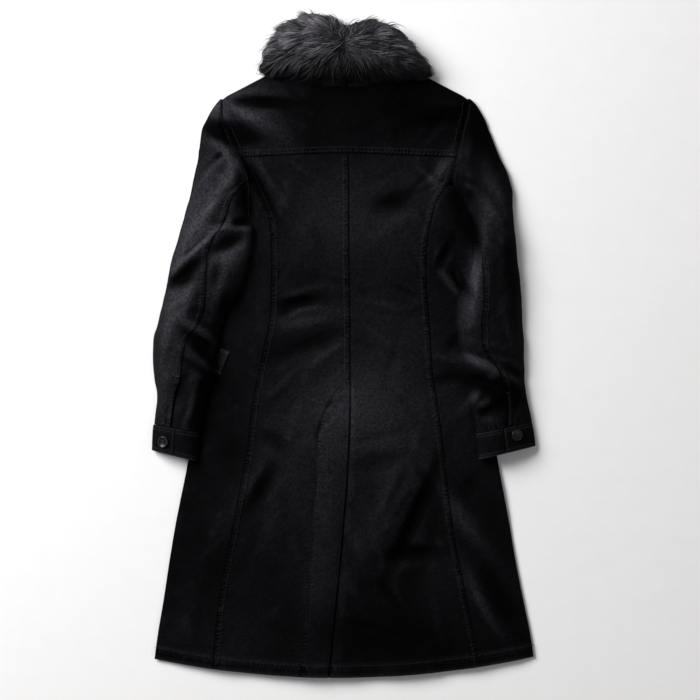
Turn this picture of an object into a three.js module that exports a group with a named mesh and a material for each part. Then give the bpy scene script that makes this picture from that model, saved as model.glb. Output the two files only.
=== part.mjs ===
import * as THREE from 'three';

// A women's long black denim coat with a fur collar, laid on its front with the back up.
// Millimetres. +Z is up from the surface, +Y runs to the collar and +X across the back.
// Heights along the coat ("up") are counted from the lowest point of the hem.

// Cloth and seams
const CLOTH = 1.5;
const SEAM_GAP = 0.3;
const HALF_GAP = SEAM_GAP / 2;
const LAY_GAP = 2;
const FRONT_CLOTH = 1.6;
const EDGE_HEIGHT = 3.8;
const HEM_TURN = 21;
const HEM_RAISE = 0.8;
const VENT_TOP = 472;
const VENT_DROP = CLOTH + 1.1;
const LAP_EDGE = 4;
const LAP_SHARE = 0.3;

// Shoulders and neck
const SHOULDER = { x: 197, up: 933 };
const NECK = { x: 95, up: 986, dip: 20 };
const SCOOP_DEPTH = 78;
const SCOOP_GAP = 1;

// Heights of the rows of points: neighbours share them, so that their seams run together
const YOKE_ROWS = [933, 920, 908, 896, 882, 868, 854, 840];
const ARMHOLE_ROWS = [824, 808, 795, 782, 766, 750, 735, 718, 700];
const SKIRT_ROWS = [675, 650, 625, 600, 575, 550, 520, 490, 472, 455, 430, 400, 370, 335, 300, 265, 230,
  195, 160, 125, 90, 55];
const ARM_ROWS = [675, 648, 620, 598, 576, 554, 534, 512, 490, 468, 446, 424];

// The body's seams, read across the laid back
const BODY = [
  { up: 933, left: -197, leftPrincess: -197, centre: 5, rightPrincess: 197, right: 197 },
  { up: 904, left: -196, leftPrincess: -196, centre: 5, rightPrincess: 193, right: 193 },
  { up: 880, left: -187, leftPrincess: -187, centre: 5, rightPrincess: 186, right: 186 },
  { up: 856, left: -176, leftPrincess: -176, centre: 5, rightPrincess: 182, right: 182 },
  { up: 838, left: -166, leftPrincess: -166, centre: 5, rightPrincess: 179, right: 179 },
  { up: 800, left: -151, leftPrincess: -149, centre: 6, rightPrincess: 169, right: 171 },
  { up: 782, left: -150, leftPrincess: -141, centre: 6, rightPrincess: 156, right: 178 },
  { up: 760, left: -150, leftPrincess: -130, centre: 6, rightPrincess: 144, right: 196 },
  { up: 735, left: -150, leftPrincess: -121, centre: 6, rightPrincess: 138, right: 206 },
  { up: 705, left: -150, leftPrincess: -118, centre: 6, rightPrincess: 132, right: 214 },
  { up: 680, left: -158, leftPrincess: -117, centre: 6, rightPrincess: 130, right: 213 },
  { up: 650, left: -172, leftPrincess: -117, centre: 7, rightPrincess: 130, right: 209 },
  { up: 605, left: -188, leftPrincess: -118, centre: 7, rightPrincess: 132, right: 205 },
  { up: 570, left: -198, leftPrincess: -121, centre: 8, rightPrincess: 135, right: 205 },
  { up: 535, left: -207, leftPrincess: -128, centre: 8, rightPrincess: 137, right: 208 },
  { up: 495, left: -217, leftPrincess: -137, centre: 8, rightPrincess: 140, right: 213 },
  { up: 440, left: -230, leftPrincess: -148, centre: 7, rightPrincess: 148, right: 224 },
  { up: 375, left: -247, leftPrincess: -155, centre: 5, rightPrincess: 157, right: 241 },
  { up: 320, left: -258, leftPrincess: -165, centre: 2, rightPrincess: 163, right: 251 },
  { up: 245, left: -273, leftPrincess: -179, centre: -4, rightPrincess: 172, right: 265 },
  { up: 185, left: -283, leftPrincess: -191, centre: -9, rightPrincess: 183, right: 275 },
  { up: 125, left: -292, leftPrincess: -202, centre: -15, rightPrincess: 195, right: 287 },
  { up: 65, left: -302, leftPrincess: -208, centre: -21, rightPrincess: 208, right: 299 },
  { up: 0, left: -310, leftPrincess: -213, centre: -28, rightPrincess: 220, right: 308 },
];

// Where the swell of the back comes down to the layer below
const SWELL = [
  { up: 990, left: -236, right: 236, rise: 22 },
  { up: 900, left: -232, right: 230, rise: 21 },
  { up: 840, left: -224, right: 222, rise: 19 },
  { up: 790, left: -205, right: 204, rise: 18 },
  { up: 740, left: -178, right: 184, rise: 17 },
  { up: 700, left: -166, right: 176, rise: 16 },
  { up: 650, left: -174, right: 178, rise: 15 },
  { up: 605, left: -188, right: 188, rise: 15 },
  { up: 535, left: -207, right: 206, rise: 15 },
  { up: 440, left: -230, right: 224, rise: 16 },
  { up: 320, left: -258, right: 251, rise: 14 },
  { up: 185, left: -283, right: 275, rise: 11 },
  { up: 65, left: -302, right: 299, rise: 9 },
  { up: 0, left: -310, right: 308, rise: 8 },
];

// Soft ridges and troughs of the back, with half sizes along and across each
const BACK_FOLDS = [
  { name: 'left waist hollow', x: -72, up: 604, along: 34, across: 9, turn: 12, lift: -10 },
  { name: 'roll under the waist hollow', x: -54, up: 574, along: 56, across: 14, turn: 12, lift: 6 },
  { name: 'band under the roll', x: -56, up: 535, along: 48, across: 11, turn: 22, lift: -6 },
  { name: 'left hip roll', x: -66, up: 492, along: 80, across: 18, turn: 34, lift: 5 },
  { name: 'left hip hollow', x: -104, up: 520, along: 40, across: 16, turn: 40, lift: -4 },
  { name: 'left seat hollow', x: -112, up: 379, along: 34, across: 14, turn: -30, lift: -5 },
  { name: 'seat swell', x: 34, up: 428, along: 60, across: 44, turn: 0, lift: 7 },
  { name: 'right waist hollow', x: 77, up: 515, along: 46, across: 9, turn: 75, lift: -4 },
  { name: 'right seat hollow', x: 62, up: 352, along: 40, across: 12, turn: 10, lift: -4 },
  { name: 'right shoulder blade hollow', x: 92, up: 768, along: 34, across: 16, turn: 16, lift: -7 },
  { name: 'right blade roll', x: 62, up: 712, along: 60, across: 18, turn: 40, lift: 4 },
  { name: 'deep right crease', x: 116, up: 268, along: 84, across: 12, turn: 66, lift: -11 },
  { name: 'crease foot', x: 110, up: 200, along: 38, across: 13, turn: 2, lift: -8 },
  { name: 'roll beside the crease', x: 62, up: 264, along: 92, across: 26, turn: 66, lift: 6 },
  { name: 'right skirt upper ridge', x: 176, up: 268, along: 86, across: 18, turn: -62, lift: 6 },
  { name: 'right skirt hollow', x: 214, up: 190, along: 90, across: 18, turn: -64, lift: -6 },
  { name: 'right skirt lower ridge', x: 218, up: 122, along: 64, across: 14, turn: -56, lift: 6 },
  { name: 'left skirt ridge', x: -166, up: 282, along: 80, across: 16, turn: 62, lift: 5 },
  { name: 'left skirt hollow', x: -134, up: 304, along: 50, across: 14, turn: 58, lift: -6 },
  { name: 'left skirt low roll', x: -238, up: 150, along: 90, across: 24, turn: 72, lift: 3 },
  { name: 'yoke swell', x: 26, up: 892, along: 62, across: 20, turn: 0, lift: 4 },
  { name: 'left shoulder crest', x: -171, up: 936, along: 36, across: 9, turn: 20, lift: 7 },
  { name: 'hollow under the left shoulder', x: -141, up: 925, along: 45, across: 9, turn: -3, lift: -6 },
  { name: 'left shoulder ridge', x: -155, up: 899, along: 42, across: 10, turn: -38, lift: 7 },
  { name: 'left armhole hollow', x: -182, up: 888, along: 42, across: 9, turn: -7, lift: -6 },
  { name: 'left blade roll', x: -104, up: 752, along: 66, across: 18, turn: 70, lift: 4 },
  { name: 'left armpit crease', x: -130, up: 798, along: 40, across: 8, turn: -57, lift: -6 },
  { name: 'right shoulder ridge', x: 173, up: 920, along: 30, across: 8, turn: -8, lift: 6 },
  { name: 'right shoulder hollow', x: 156, up: 894, along: 36, across: 10, turn: 5, lift: -5 },
  { name: 'right armhole ridge', x: 156, up: 814, along: 34, across: 11, turn: 60, lift: 5 },
];

// Sleeves: the outer and inner edges, the elbow seam and the swell, by height
const SLEEVES = {
  left: {
    side: -1,
    elbowTop: 806,
    cuffTop: { outer: 408, inner: 396 },
    cuffEnd: { outer: 367, inner: 350 },
    tab: { edge: 35, button: { x: -290, up: 381 } },
    opening: { from: 735, to: 718 },
    edges: [
      { up: 930, outer: 201, inner: 197.5, elbow: 197.5, rise: 3 },
      { up: 922, outer: 208, inner: 197.3, elbow: 197.3, rise: 5 },
      { up: 902, outer: 221, inner: 196.3, elbow: 196.3, rise: 7 },
      { up: 880, outer: 231, inner: 187.3, elbow: 187.3, rise: 10 },
      { up: 845, outer: 235, inner: 170, elbow: 170, rise: 14 },
      { up: 806, outer: 242, inner: 153, elbow: 155, rise: 18 },
      { up: 768, outer: 251, inner: 150.6, elbow: 181, rise: 23 },
      { up: 735, outer: 261, inner: 150.6, elbow: 192, rise: 27 },
      { up: 700, outer: 271, inner: 152.6, elbow: 212, rise: 29 },
      { up: 675, outer: 279, inner: 159, elbow: 220, rise: 30 },
      { up: 624, outer: 289, inner: 171, elbow: 222, rise: 29 },
      { up: 600, outer: 294, inner: 186, elbow: 223, rise: 28 },
      { up: 570, outer: 300, inner: 198, elbow: 233, rise: 27 },
      { up: 544, outer: 306, inner: 205, elbow: 252, rise: 27 },
      { up: 515, outer: 309, inner: 213, elbow: 259, rise: 25 },
      { up: 482, outer: 307, inner: 216, elbow: 262, rise: 23 },
      { up: 456, outer: 302, inner: 221, elbow: 270, rise: 20 },
      { up: 422, outer: 306, inner: 228, elbow: 276, rise: 18 },
      { up: 390, outer: 309, inner: 234, elbow: 278, rise: 16 },
      { up: 340, outer: 311, inner: 239, elbow: 279, rise: 14 },
    ],
    folds: [
      { name: 'hollow below the shoulder', x: -190, up: 884, along: 36, across: 10, turn: -7, lift: -8 },
      { name: 'ridge from the shoulder', x: -196, up: 854, along: 50, across: 11, turn: -38, lift: 7 },
      { name: 'long upper ridge', x: -214, up: 752, along: 84, across: 14, turn: 56, lift: 9 },
      { name: 'hollow above the elbow', x: -178, up: 706, along: 28, across: 13, turn: 30, lift: -9 },
      { name: 'outer hollow', x: -262, up: 642, along: 30, across: 13, turn: 24, lift: -9 },
      { name: 'elbow ridge', x: -246, up: 618, along: 50, across: 12, turn: 70, lift: 6 },
      { name: 'black notch', x: -222, up: 536, along: 32, across: 9, turn: -32, lift: -10 },
      { name: 'ridge above the notch', x: -230, up: 558, along: 34, across: 9, turn: -30, lift: 6 },
      { name: 'lower sleeve roll', x: -282, up: 560, along: 46, across: 12, turn: 78, lift: 5 },
      { name: 'wrinkle above the cuff', x: -244, up: 444, along: 34, across: 9, turn: 74, lift: 6 },
      { name: 'hollow above the cuff', x: -262, up: 470, along: 30, across: 8, turn: 66, lift: -5 },
    ],
  },
  right: {
    side: 1,
    elbowTop: 706,
    cuffTop: { outer: 412, inner: 394 },
    cuffEnd: { outer: 374, inner: 353 },
    tab: { edge: 48, button: { x: 274, up: 392 } },
    opening: { from: 782, to: 750 },
    edges: [
      { up: 930, outer: 202, inner: 197.5, elbow: 197.5, rise: 3 },
      { up: 922, outer: 210, inner: 196.4, elbow: 196.4, rise: 4 },
      { up: 902, outer: 222, inner: 193.3, elbow: 193.3, rise: 5 },
      { up: 880, outer: 232, inner: 186.3, elbow: 186.3, rise: 7 },
      { up: 845, outer: 246, inner: 180.8, elbow: 180.8, rise: 10 },
      { up: 800, outer: 264, inner: 171.8, elbow: 171.8, rise: 14 },
      { up: 782, outer: 268, inner: 179, elbow: 179, rise: 17 },
      { up: 760, outer: 270, inner: 197, elbow: 197, rise: 20 },
      { up: 735, outer: 272, inner: 203, elbow: 203, rise: 24 },
      { up: 706, outer: 274, inner: 208, elbow: 209, rise: 27 },
      { up: 680, outer: 276, inner: 207, elbow: 218, rise: 28 },
      { up: 640, outer: 280, inner: 198, elbow: 222, rise: 27 },
      { up: 605, outer: 283, inner: 180, elbow: 222, rise: 27 },
      { up: 570, outer: 286, inner: 179, elbow: 219, rise: 27 },
      { up: 541, outer: 288, inner: 182, elbow: 219, rise: 26 },
      { up: 518, outer: 288, inner: 188, elbow: 229, rise: 25 },
      { up: 490, outer: 288, inner: 193, elbow: 248, rise: 24 },
      { up: 454, outer: 292, inner: 199, elbow: 257, rise: 21 },
      { up: 418, outer: 299, inner: 208, elbow: 258, rise: 18 },
      { up: 380, outer: 305, inner: 212, elbow: 258, rise: 16 },
      { up: 340, outer: 309, inner: 216, elbow: 258, rise: 14 },
    ],
    folds: [
      { name: 'hollow below the shoulder', x: 214, up: 850, along: 50, across: 14, turn: 66, lift: -6 },
      { name: 'outer shoulder roll', x: 240, up: 790, along: 60, across: 16, turn: -70, lift: 4 },
      { name: 'inner hollow', x: 212, up: 752, along: 34, across: 12, turn: -60, lift: -5 },
      { name: 'bright inner ridge', x: 214, up: 662, along: 56, across: 8, turn: 82, lift: 7 },
      { name: 'elbow swell', x: 252, up: 620, along: 70, across: 18, turn: -84, lift: 4 },
      { name: 'fold at the elbow', x: 218, up: 508, along: 40, across: 9, turn: -20, lift: 7 },
      { name: 'hollow below the elbow', x: 226, up: 476, along: 36, across: 9, turn: -24, lift: -9 },
      { name: 'second wrinkle', x: 232, up: 450, along: 34, across: 8, turn: 40, lift: 6 },
      { name: 'hollow above the cuff', x: 222, up: 430, along: 24, across: 8, turn: 10, lift: -6 },
      { name: 'outer crease', x: 272, up: 492, along: 24, across: 8, turn: -30, lift: -6 },
    ],
  },
};

// The fur collar's outline at the head end, and its lower edge on the yoke
const FUR = [
  { x: -138, top: 1000 },
  { x: -128, top: 1022 },
  { x: -112, top: 1042 },
  { x: -88, top: 1059 },
  { x: -62, top: 1067 },
  { x: -30, top: 1066 },
  { x: -4, top: 1052 },
  { x: 6, top: 1052 },
  { x: 40, top: 1058 },
  { x: 68, top: 1053 },
  { x: 91, top: 1036 },
  { x: 112, top: 1013 },
  { x: 126, top: 996 },
  { x: 138, top: 984 },
];
const FUR_END = 139;
const FUR_LOW = { middle: 953, rise: 10 };
const FUR_CREST = { middle: 62, end: 34 };

// Front edge, closed with a row of buttons on the under side
const FRONT_EDGE = { left: 30, right: -34 };
const FRONT_BUTTONS = { count: 5, first: 872, pitch: 128, bed: 12, slope: 15 };
const BUTTON = { radius: 9, thick: 3.2, rim: 1.7 };
const FLAT_BUTTON = { radius: 9, thick: 2.4, rim: 1.5 };
const LAP_PLACES = [60, 50, 40, 27, 19, 12, 0, -12, -19, -27];

// Belt loops at the waist, one at each side seam
const LOOPS = [
  { name: 'belt_loop_left', x: -198, up: 510, turn: -17 },
  { name: 'belt_loop_right', x: 196, up: 512, turn: 14 },
];
const LOOP = { width: 17, length: 40, thick: 1.4, bow: 2.2 };

const DENIM = new THREE.MeshStandardMaterial({ color: 0x15141a, roughness: 0.9, metalness: 0 });
const FUR_FINISH = new THREE.MeshStandardMaterial({ color: 0x35323c, roughness: 1, metalness: 0 });
const HORN = new THREE.MeshStandardMaterial({ color: 0x121114, roughness: 0.35, metalness: 0 });

const clamp = (v, low, high) => Math.min(high, Math.max(low, v));
const mix = (a, b, t) => a + (b - a) * t;

function ease(from, to, v) {
  const t = clamp((v - from) / (to - from), 0, 1);
  return t * t * (3 - 2 * t);
}

// A smooth curve through one column of a table, with no overshoot between its rows
function curve(rows, along, column) {
  const knots = rows.map((row) => [row[along], row[column]]).sort((a, b) => a[0] - b[0]);
  const last = knots.length - 1;
  const steps = knots.slice(1).map((knot, i) => (knot[1] - knots[i][1]) / (knot[0] - knots[i][0]));
  const slopes = knots.map((knot, i) => {
    if (i === 0) return steps[0];
    if (i === last) return steps[last - 1];
    const product = steps[i - 1] * steps[i];
    return product > 0 ? (2 * product) / (steps[i - 1] + steps[i]) : 0;
  });
  return (at) => {
    const v = clamp(at, knots[0][0], knots[last][0]);
    let i = 0;
    while (i < last - 1 && knots[i + 1][0] < v) i += 1;
    const width = knots[i + 1][0] - knots[i][0];
    const t = (v - knots[i][0]) / width;
    const start = knots[i][1] * (1 + 2 * t) * (1 - t) ** 2 + slopes[i] * width * t * (1 - t) ** 2;
    const end = knots[i + 1][1] * t * t * (3 - 2 * t) + slopes[i + 1] * width * t * t * (t - 1);
    return start + end;
  };
}

const body = {
  left: curve(BODY, 'up', 'left'),
  right: curve(BODY, 'up', 'right'),
  leftPrincess: curve(BODY, 'up', 'leftPrincess'),
  rightPrincess: curve(BODY, 'up', 'rightPrincess'),
  centre: curve(BODY, 'up', 'centre'),
};
const swell = {
  left: curve(SWELL, 'up', 'left'),
  right: curve(SWELL, 'up', 'right'),
  rise: curve(SWELL, 'up', 'rise'),
};
const furTop = curve(FUR, 'x', 'top');

// Sum of a table of folds at one place
function foldHeight(folds, x, up) {
  let sum = 0;
  for (const fold of folds) {
    const turn = THREE.MathUtils.degToRad(fold.turn);
    const dx = x - fold.x;
    const dy = up - fold.up;
    const along = (dx * Math.cos(turn) + dy * Math.sin(turn)) / fold.along;
    const across = (dy * Math.cos(turn) - dx * Math.sin(turn)) / fold.across;
    sum += fold.lift * Math.exp(-along * along - across * across);
  }
  return sum;
}

// The line of the shoulders and the back of the neck, seen from above
function shoulderLine(x) {
  const out = Math.abs(x);
  if (out < NECK.x) return NECK.up;
  return mix(NECK.up, SHOULDER.up, (out - NECK.x) / (SHOULDER.x - NECK.x));
}

function neckline(x) {
  const out = Math.abs(x) / NECK.x;
  return out < 1 ? NECK.up - NECK.dip * (1 - out * out) : shoulderLine(x);
}

function frontNeckline(x) {
  const out = Math.abs(x) / NECK.x;
  return out < 1 ? NECK.up - SCOOP_DEPTH * (1 - out * out) : shoulderLine(x);
}

// Height of the outer side of the laid back, with its crown and folds
function backHeight(x, up) {
  const left = swell.left(up);
  const right = swell.right(up);
  const across = clamp((x - left) / (right - left), 0, 1);
  const crown = (1 - Math.abs(2 * across - 1) ** 2.6) ** 0.8;
  const below = clamp((shoulderLine(x) - up) / 60, 0, 1) ** 0.6;
  const shoulder = Math.max(below, 1 - ease(60, 150, Math.abs(x)));
  const folds = foldHeight(BACK_FOLDS, x, up) * clamp(crown * 1.8, 0, 1) * shoulder;
  return EDGE_HEIGHT + Math.max(0, swell.rise(up) * crown * shoulder + folds);
}

// The hem's lowest edge, an arc across the skirt
function hemLine(x) {
  const out = Math.abs(x + 10) / 300;
  return 2 + 30 * out * out;
}

// Turned hem: the lowest band stands a little proud
function hemRaise(x, up) {
  return HEM_RAISE * (1 - ease(HEM_TURN - 1.5, HEM_TURN + 1.5, up - hemLine(x)));
}

// A closed solid between two matching grids of points
function wall(outer, inner) {
  const rows = outer.length;
  const columns = outer[0].length;
  const points = [...outer.flat(), ...inner.flat()];
  const at = (layer, r, c) => layer * rows * columns + r * columns + c;
  const index = [];
  const quad = (a, b, c, d) => index.push(a, b, c, a, c, d);
  for (let r = 0; r < rows - 1; r += 1) {
    for (let c = 0; c < columns - 1; c += 1) {
      quad(at(0, r, c), at(0, r, c + 1), at(0, r + 1, c + 1), at(0, r + 1, c));
      quad(at(1, r, c), at(1, r + 1, c), at(1, r + 1, c + 1), at(1, r, c + 1));
    }
  }
  for (let c = 0; c < columns - 1; c += 1) {
    quad(at(0, 0, c), at(1, 0, c), at(1, 0, c + 1), at(0, 0, c + 1));
    quad(at(0, rows - 1, c), at(0, rows - 1, c + 1), at(1, rows - 1, c + 1), at(1, rows - 1, c));
  }
  for (let r = 0; r < rows - 1; r += 1) {
    quad(at(0, r, 0), at(0, r + 1, 0), at(1, r + 1, 0), at(1, r, 0));
    quad(at(0, r, columns - 1), at(1, r, columns - 1), at(1, r + 1, columns - 1), at(0, r + 1, columns - 1));
  }
  return solid(points, index);
}

// A closed solid through a row of closed sections, with a fan over each end
function loft(sections) {
  const count = sections[0].length;
  const points = sections.flat();
  const index = [];
  for (let s = 0; s < sections.length - 1; s += 1) {
    for (let i = 0; i < count; i += 1) {
      const a = s * count + i;
      const b = s * count + ((i + 1) % count);
      index.push(a, b, b + count, a, b + count, a + count);
    }
  }
  for (const [first, flip] of [[0, true], [(sections.length - 1) * count, false]]) {
    const middle = new THREE.Vector3();
    for (let i = 0; i < count; i += 1) middle.addScaledVector(points[first + i], 1 / count);
    points.push(middle);
    for (let i = 0; i < count; i += 1) {
      const pair = [first + i, first + ((i + 1) % count)];
      if (flip) pair.reverse();
      index.push(points.length - 1, pair[0], pair[1]);
    }
  }
  return solid(points, index);
}

// Geometry from points and triangles, turned so that its faces point outward
function solid(points, index) {
  let volume = 0;
  for (let i = 0; i < index.length; i += 3) {
    const [a, b, c] = [points[index[i]], points[index[i + 1]], points[index[i + 2]]];
    volume += a.dot(new THREE.Vector3().crossVectors(b, c));
  }
  const faces = volume < 0 ? [...index].reverse() : index;
  const geometry = new THREE.BufferGeometry().setFromPoints(points);
  geometry.setIndex(faces);
  geometry.computeVertexNormals();
  return geometry;
}

// Outward normals of a grid of points, from its own neighbours; sign picks the side
function gridNormals(grid, sign) {
  const rows = grid.length;
  const columns = grid[0].length;
  return grid.map((row, r) => row.map((_, c) => {
    const alongRow = new THREE.Vector3().subVectors(
      grid[r][Math.min(c + 1, columns - 1)], grid[r][Math.max(c - 1, 0)]);
    const downRows = new THREE.Vector3().subVectors(
      grid[Math.min(r + 1, rows - 1)][c], grid[Math.max(r - 1, 0)][c]);
    return alongRow.cross(downRows).multiplyScalar(sign).normalize();
  }));
}

function moved(grid, normals, distance) {
  return grid.map((row, r) => row.map((point, c) => point.clone().addScaledVector(normals[r][c], distance)));
}

// Even steps from 0 to 1
const steps = (count) => Array.from({ length: count + 1 }, (_, i) => i / count);

// Where a row of points lies: rows bend with the yoke seam above and with the hem below
function rowHeight(level, x) {
  const high = (yokeSeam(x) - 840) * ease(700, 840, level);
  return level + high + hemLine(x) * (1 - ease(0, 160, level));
}

// A height function's upward normal at one point, so that neighbours share it along a seam
function normalOf(height, { x, y }) {
  const reach = 2;
  const slopeX = (height(x + reach, y) - height(x - reach, y)) / (2 * reach);
  const slopeY = (height(x, y + reach) - height(x, y - reach)) / (2 * reach);
  return new THREE.Vector3(-slopeX, -slopeY, 1).normalize();
}

function wallUnder(outer, height) {
  return wall(outer, moved(outer, outer.map((row) => row.map((point) => normalOf(height, point))), -CLOTH));
}

// A panel of the back, as a wall under the back's height; place gives x for a height and a share across
function backPanel({ place, levels, columns, drop = () => 0 }) {
  const height = (x, up) => backHeight(x, up) + hemRaise(x, up) - drop(x, up);
  const outer = levels.map((level) => columns.map((s) => {
    let x = 0;
    let up = level;
    for (let pass = 0; pass < 6; pass += 1) {
      x = place(up, s);
      up = rowHeight(level, x);
    }
    return new THREE.Vector3(x, up, height(x, up));
  }));
  return wallUnder(outer, height);
}

const yokeSeam = (x) => 840 + 3 * Math.exp(-((x / 80) ** 2)) - 3 * (x / 180) ** 2;

function yoke() {
  const shoulder = steps(6).slice(0, -1).map((s) => mix(-SHOULDER.x, -NECK.x, s));
  const neck = steps(12).map((s) => mix(-NECK.x, NECK.x, s));
  const across = [...shoulder, ...neck, ...shoulder.map((x) => -x).reverse()];
  const outer = YOKE_ROWS.map((level) => across.map((place) => {
    const t = (SHOULDER.up - level) / (SHOULDER.up - 840);
    const s = (place + SHOULDER.x) / (2 * SHOULDER.x);
    const foot = mix(body.left(840), body.right(840), s);
    const up = mix(neckline(place) - SEAM_GAP, yokeSeam(foot) + HALF_GAP, t);
    const x = mix(body.left(up) + HALF_GAP, body.right(up) - HALF_GAP, s);
    return new THREE.Vector3(x, up, backHeight(x, up));
  }));
  return wallUnder(outer, backHeight);
}

// Rows of the back panels, from just under the yoke to the turned hem
const hemRows = [HEM_TURN + 1.5, HEM_TURN - 1.5, 0];
const backRows = [840 - HALF_GAP, ...ARMHOLE_ROWS, ...SKIRT_ROWS, ...hemRows];

// The right half of the back carries the vent's underlap beneath the left half
function underlapLeft(up) {
  return body.centre(up) - 50 * ease(VENT_TOP, VENT_TOP - 96, up);
}

function ventDrop(x, up) {
  const past = x - body.centre(up);
  return VENT_DROP * ease(VENT_TOP + 18, VENT_TOP - 2, up) * (1 - ease(LAP_EDGE, LAP_EDGE + 9, past));
}

function backs() {
  const { leftPrincess, centre, rightPrincess } = body;
  const lapColumns = [0, 0.1, 0.2, LAP_SHARE];
  const restColumns = [0.07, 0.17, 0.3, 0.44, 0.58, 0.72, 0.86, 1].map((s) => mix(LAP_SHARE, 1, s));
  const rightPlace = (up, s) => {
    const lapEnd = centre(up) + LAP_EDGE;
    if (s <= LAP_SHARE) return mix(underlapLeft(up) + HALF_GAP, lapEnd, s / LAP_SHARE);
    return mix(lapEnd, rightPrincess(up) - HALF_GAP, (s - LAP_SHARE) / (1 - LAP_SHARE));
  };
  return {
    back_left: backPanel({
      place: (up, s) => mix(leftPrincess(up) + HALF_GAP, centre(up) - HALF_GAP, s),
      levels: backRows,
      columns: steps(10),
    }),
    back_right: backPanel({
      place: rightPlace,
      levels: backRows,
      columns: [...lapColumns, ...restColumns],
      drop: ventDrop,
    }),
  };
}

// A side panel starts where its princess seam leaves the armhole
function sideBack(side) {
  const seam = side < 0 ? body.leftPrincess : body.rightPrincess;
  const edge = side < 0 ? body.left : body.right;
  return backPanel({
    place: (up, s) => mix(seam(up) + side * HALF_GAP, edge(up), side < 0 ? 1 - s : s),
    levels: backRows.filter((level) => level < 800),
    columns: steps(6),
  });
}

// Both fronts pass over the buttons that close them, in a shallow bed
function buttonLift(x) {
  const past = Math.abs(x);
  const bed = FRONT_BUTTONS.bed;
  return (FLAT_BUTTON.thick + SEAM_GAP) * (1 - ease(bed, bed + FRONT_BUTTONS.slope, past));
}

// A front lies on the surface; where the two cross, the left one lies on top of the right one
function front(side) {
  const isLeft = side < 0;
  const edge = isLeft ? FRONT_EDGE.left : FRONT_EDGE.right;
  const outline = isLeft ? body.left : body.right;
  const shoulder = steps(4).slice(0, -1).map((s) => mix(SHOULDER.x, NECK.x, s));
  const chest = [NECK.x, 78, ...LAP_PLACES, edge * side];
  const lap = (x) => (FRONT_CLOTH + SEAM_GAP) * ease(-60, -40, x);
  const levels = [...YOKE_ROWS, ...ARMHOLE_ROWS, ...SKIRT_ROWS.filter((_, i) => i % 4 === 3), 0];
  const low = levels.map((level) => [...shoulder, ...chest].map((place) => {
    const t = (SHOULDER.up - level) / SHOULDER.up;
    const spread = Math.max(0, place - LAP_PLACES[0]) / (SHOULDER.x - LAP_PLACES[0]);
    const across = (up) => side * mix(Math.min(place, LAP_PLACES[0]), Math.abs(outline(up)) - HALF_GAP, spread);
    const gap = Math.abs(place) < NECK.x ? SCOOP_GAP : SEAM_GAP;
    const up = mix(frontNeckline(place) - gap, hemLine(across(0)) + 1.5, t);
    const x = across(up);
    return new THREE.Vector3(x, up, buttonLift(x) + (isLeft ? lap(x) : 0));
  }));
  const high = low.map((row) => row.map((point) => new THREE.Vector3(point.x, point.y, point.z + FRONT_CLOTH)));
  return wall(low, high);
}

// What a sleeve lies on at one place: the body's edge, the belt loop under it, or the surface
function support(side, x, up) {
  const edge = side < 0 ? body.left(up) : body.right(up);
  const outside = (x - edge) * side;
  const loop = LOOPS.find((row) => Math.sign(row.x) === side);
  const overLoop = 4.6 * Math.exp(-(((x - loop.x) / 22) ** 4) - ((up - loop.up) / 34) ** 4);
  const onBody = backHeight(x, up) + hemRaise(x, up) + LAY_GAP + overLoop;
  return outside < 0 ? onBody : onBody * (1 - ease(3, 18, outside));
}

// Reading one sleeve: a point of its outer side for a height and a way round
// Way 0 is the inner edge, 1 the outer edge over the top, 2 the inner edge from below
function sleeveReader(name) {
  const sleeve = SLEEVES[name];
  const { side, folds } = sleeve;
  const outer = curve(sleeve.edges, 'up', 'outer');
  const foldedEdge = curve(sleeve.edges, 'up', 'inner');
  const elbow = curve(sleeve.edges, 'up', 'elbow');
  const rise = curve(sleeve.edges, 'up', 'rise');
  const roll = 4.6;
  const open = (up) => ease(sleeve.opening.to, sleeve.opening.from, up);
  const armhole = (up) => Math.abs(side < 0 ? body.left(up) : body.right(up)) + 2.4 * SEAM_GAP;
  const inner = (up) => mix(foldedEdge(up), armhole(up), open(up));
  const point = (up, way) => {
    const under = way > 1;
    const across = under ? 2 - way : way;
    const x = side * mix(inner(up), outer(up), across);
    const lift = support(side, x, up) * (1 - open(up));
    const outEdge = Math.min(roll, 0.3 * rise(up) + 1.6);
    const inEdge = support(side, side * inner(up), up) + roll;
    if (!under) {
      const innerTop = mix(inEdge, backHeight(x, up), open(up));
      const between = mix(innerTop, outEdge, ease(0, 1, across));
      const bulge = (1 - Math.abs(2 * across - 1) ** 2.4) ** 0.62;
      const softened = mix(1, ease(0, 0.32, across), open(up));
      const shaped = foldHeight(folds, x, up) * clamp(bulge * 1.5, 0, 1) * clamp(rise(up) / 20, 0, 1);
      const least = lift + 2 * CLOTH + 2.4;
      const height = between + rise(up) * bulge * softened + shaped;
      const keep = ease(0, 0.12, across) * ease(1, 0.88, across) * (1 - open(up) * (1 - ease(0, 0.5, across)));
      return new THREE.Vector3(x, up, mix(height, Math.max(height, least), keep));
    }
    const outerRoll = (outEdge - lift) * (1 - ease(0, 0.09, 1 - across));
    const innerRoll = (inEdge - SEAM_GAP - lift) * (1 - open(up)) * (1 - ease(0, 0.09, across));
    return new THREE.Vector3(x, up, Math.max(0, lift + outerRoll + innerRoll));
  };
  const wayOf = (up, x) => clamp((Math.abs(x) - inner(up)) / (outer(up) - inner(up)), 0, 1);
  return { sleeve, side, outer, inner, elbow, point, wayOf, open };
}

// Ways round, closer together at a folded edge
function waysBetween(from, to, count) {
  return steps(count).map((t) => mix(from, to, (1 - Math.cos(Math.PI * t)) / 2));
}

// Height of a row's point: rows are level at the armhole and turn to the slant of the cuff
function rowUp(sleeve, level, way) {
  const across = way > 1 ? 2 - way : way;
  const rise = sleeve.cuffTop.outer - sleeve.cuffTop.inner;
  return level + rise * across * ease(700, 430, level);
}

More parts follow.
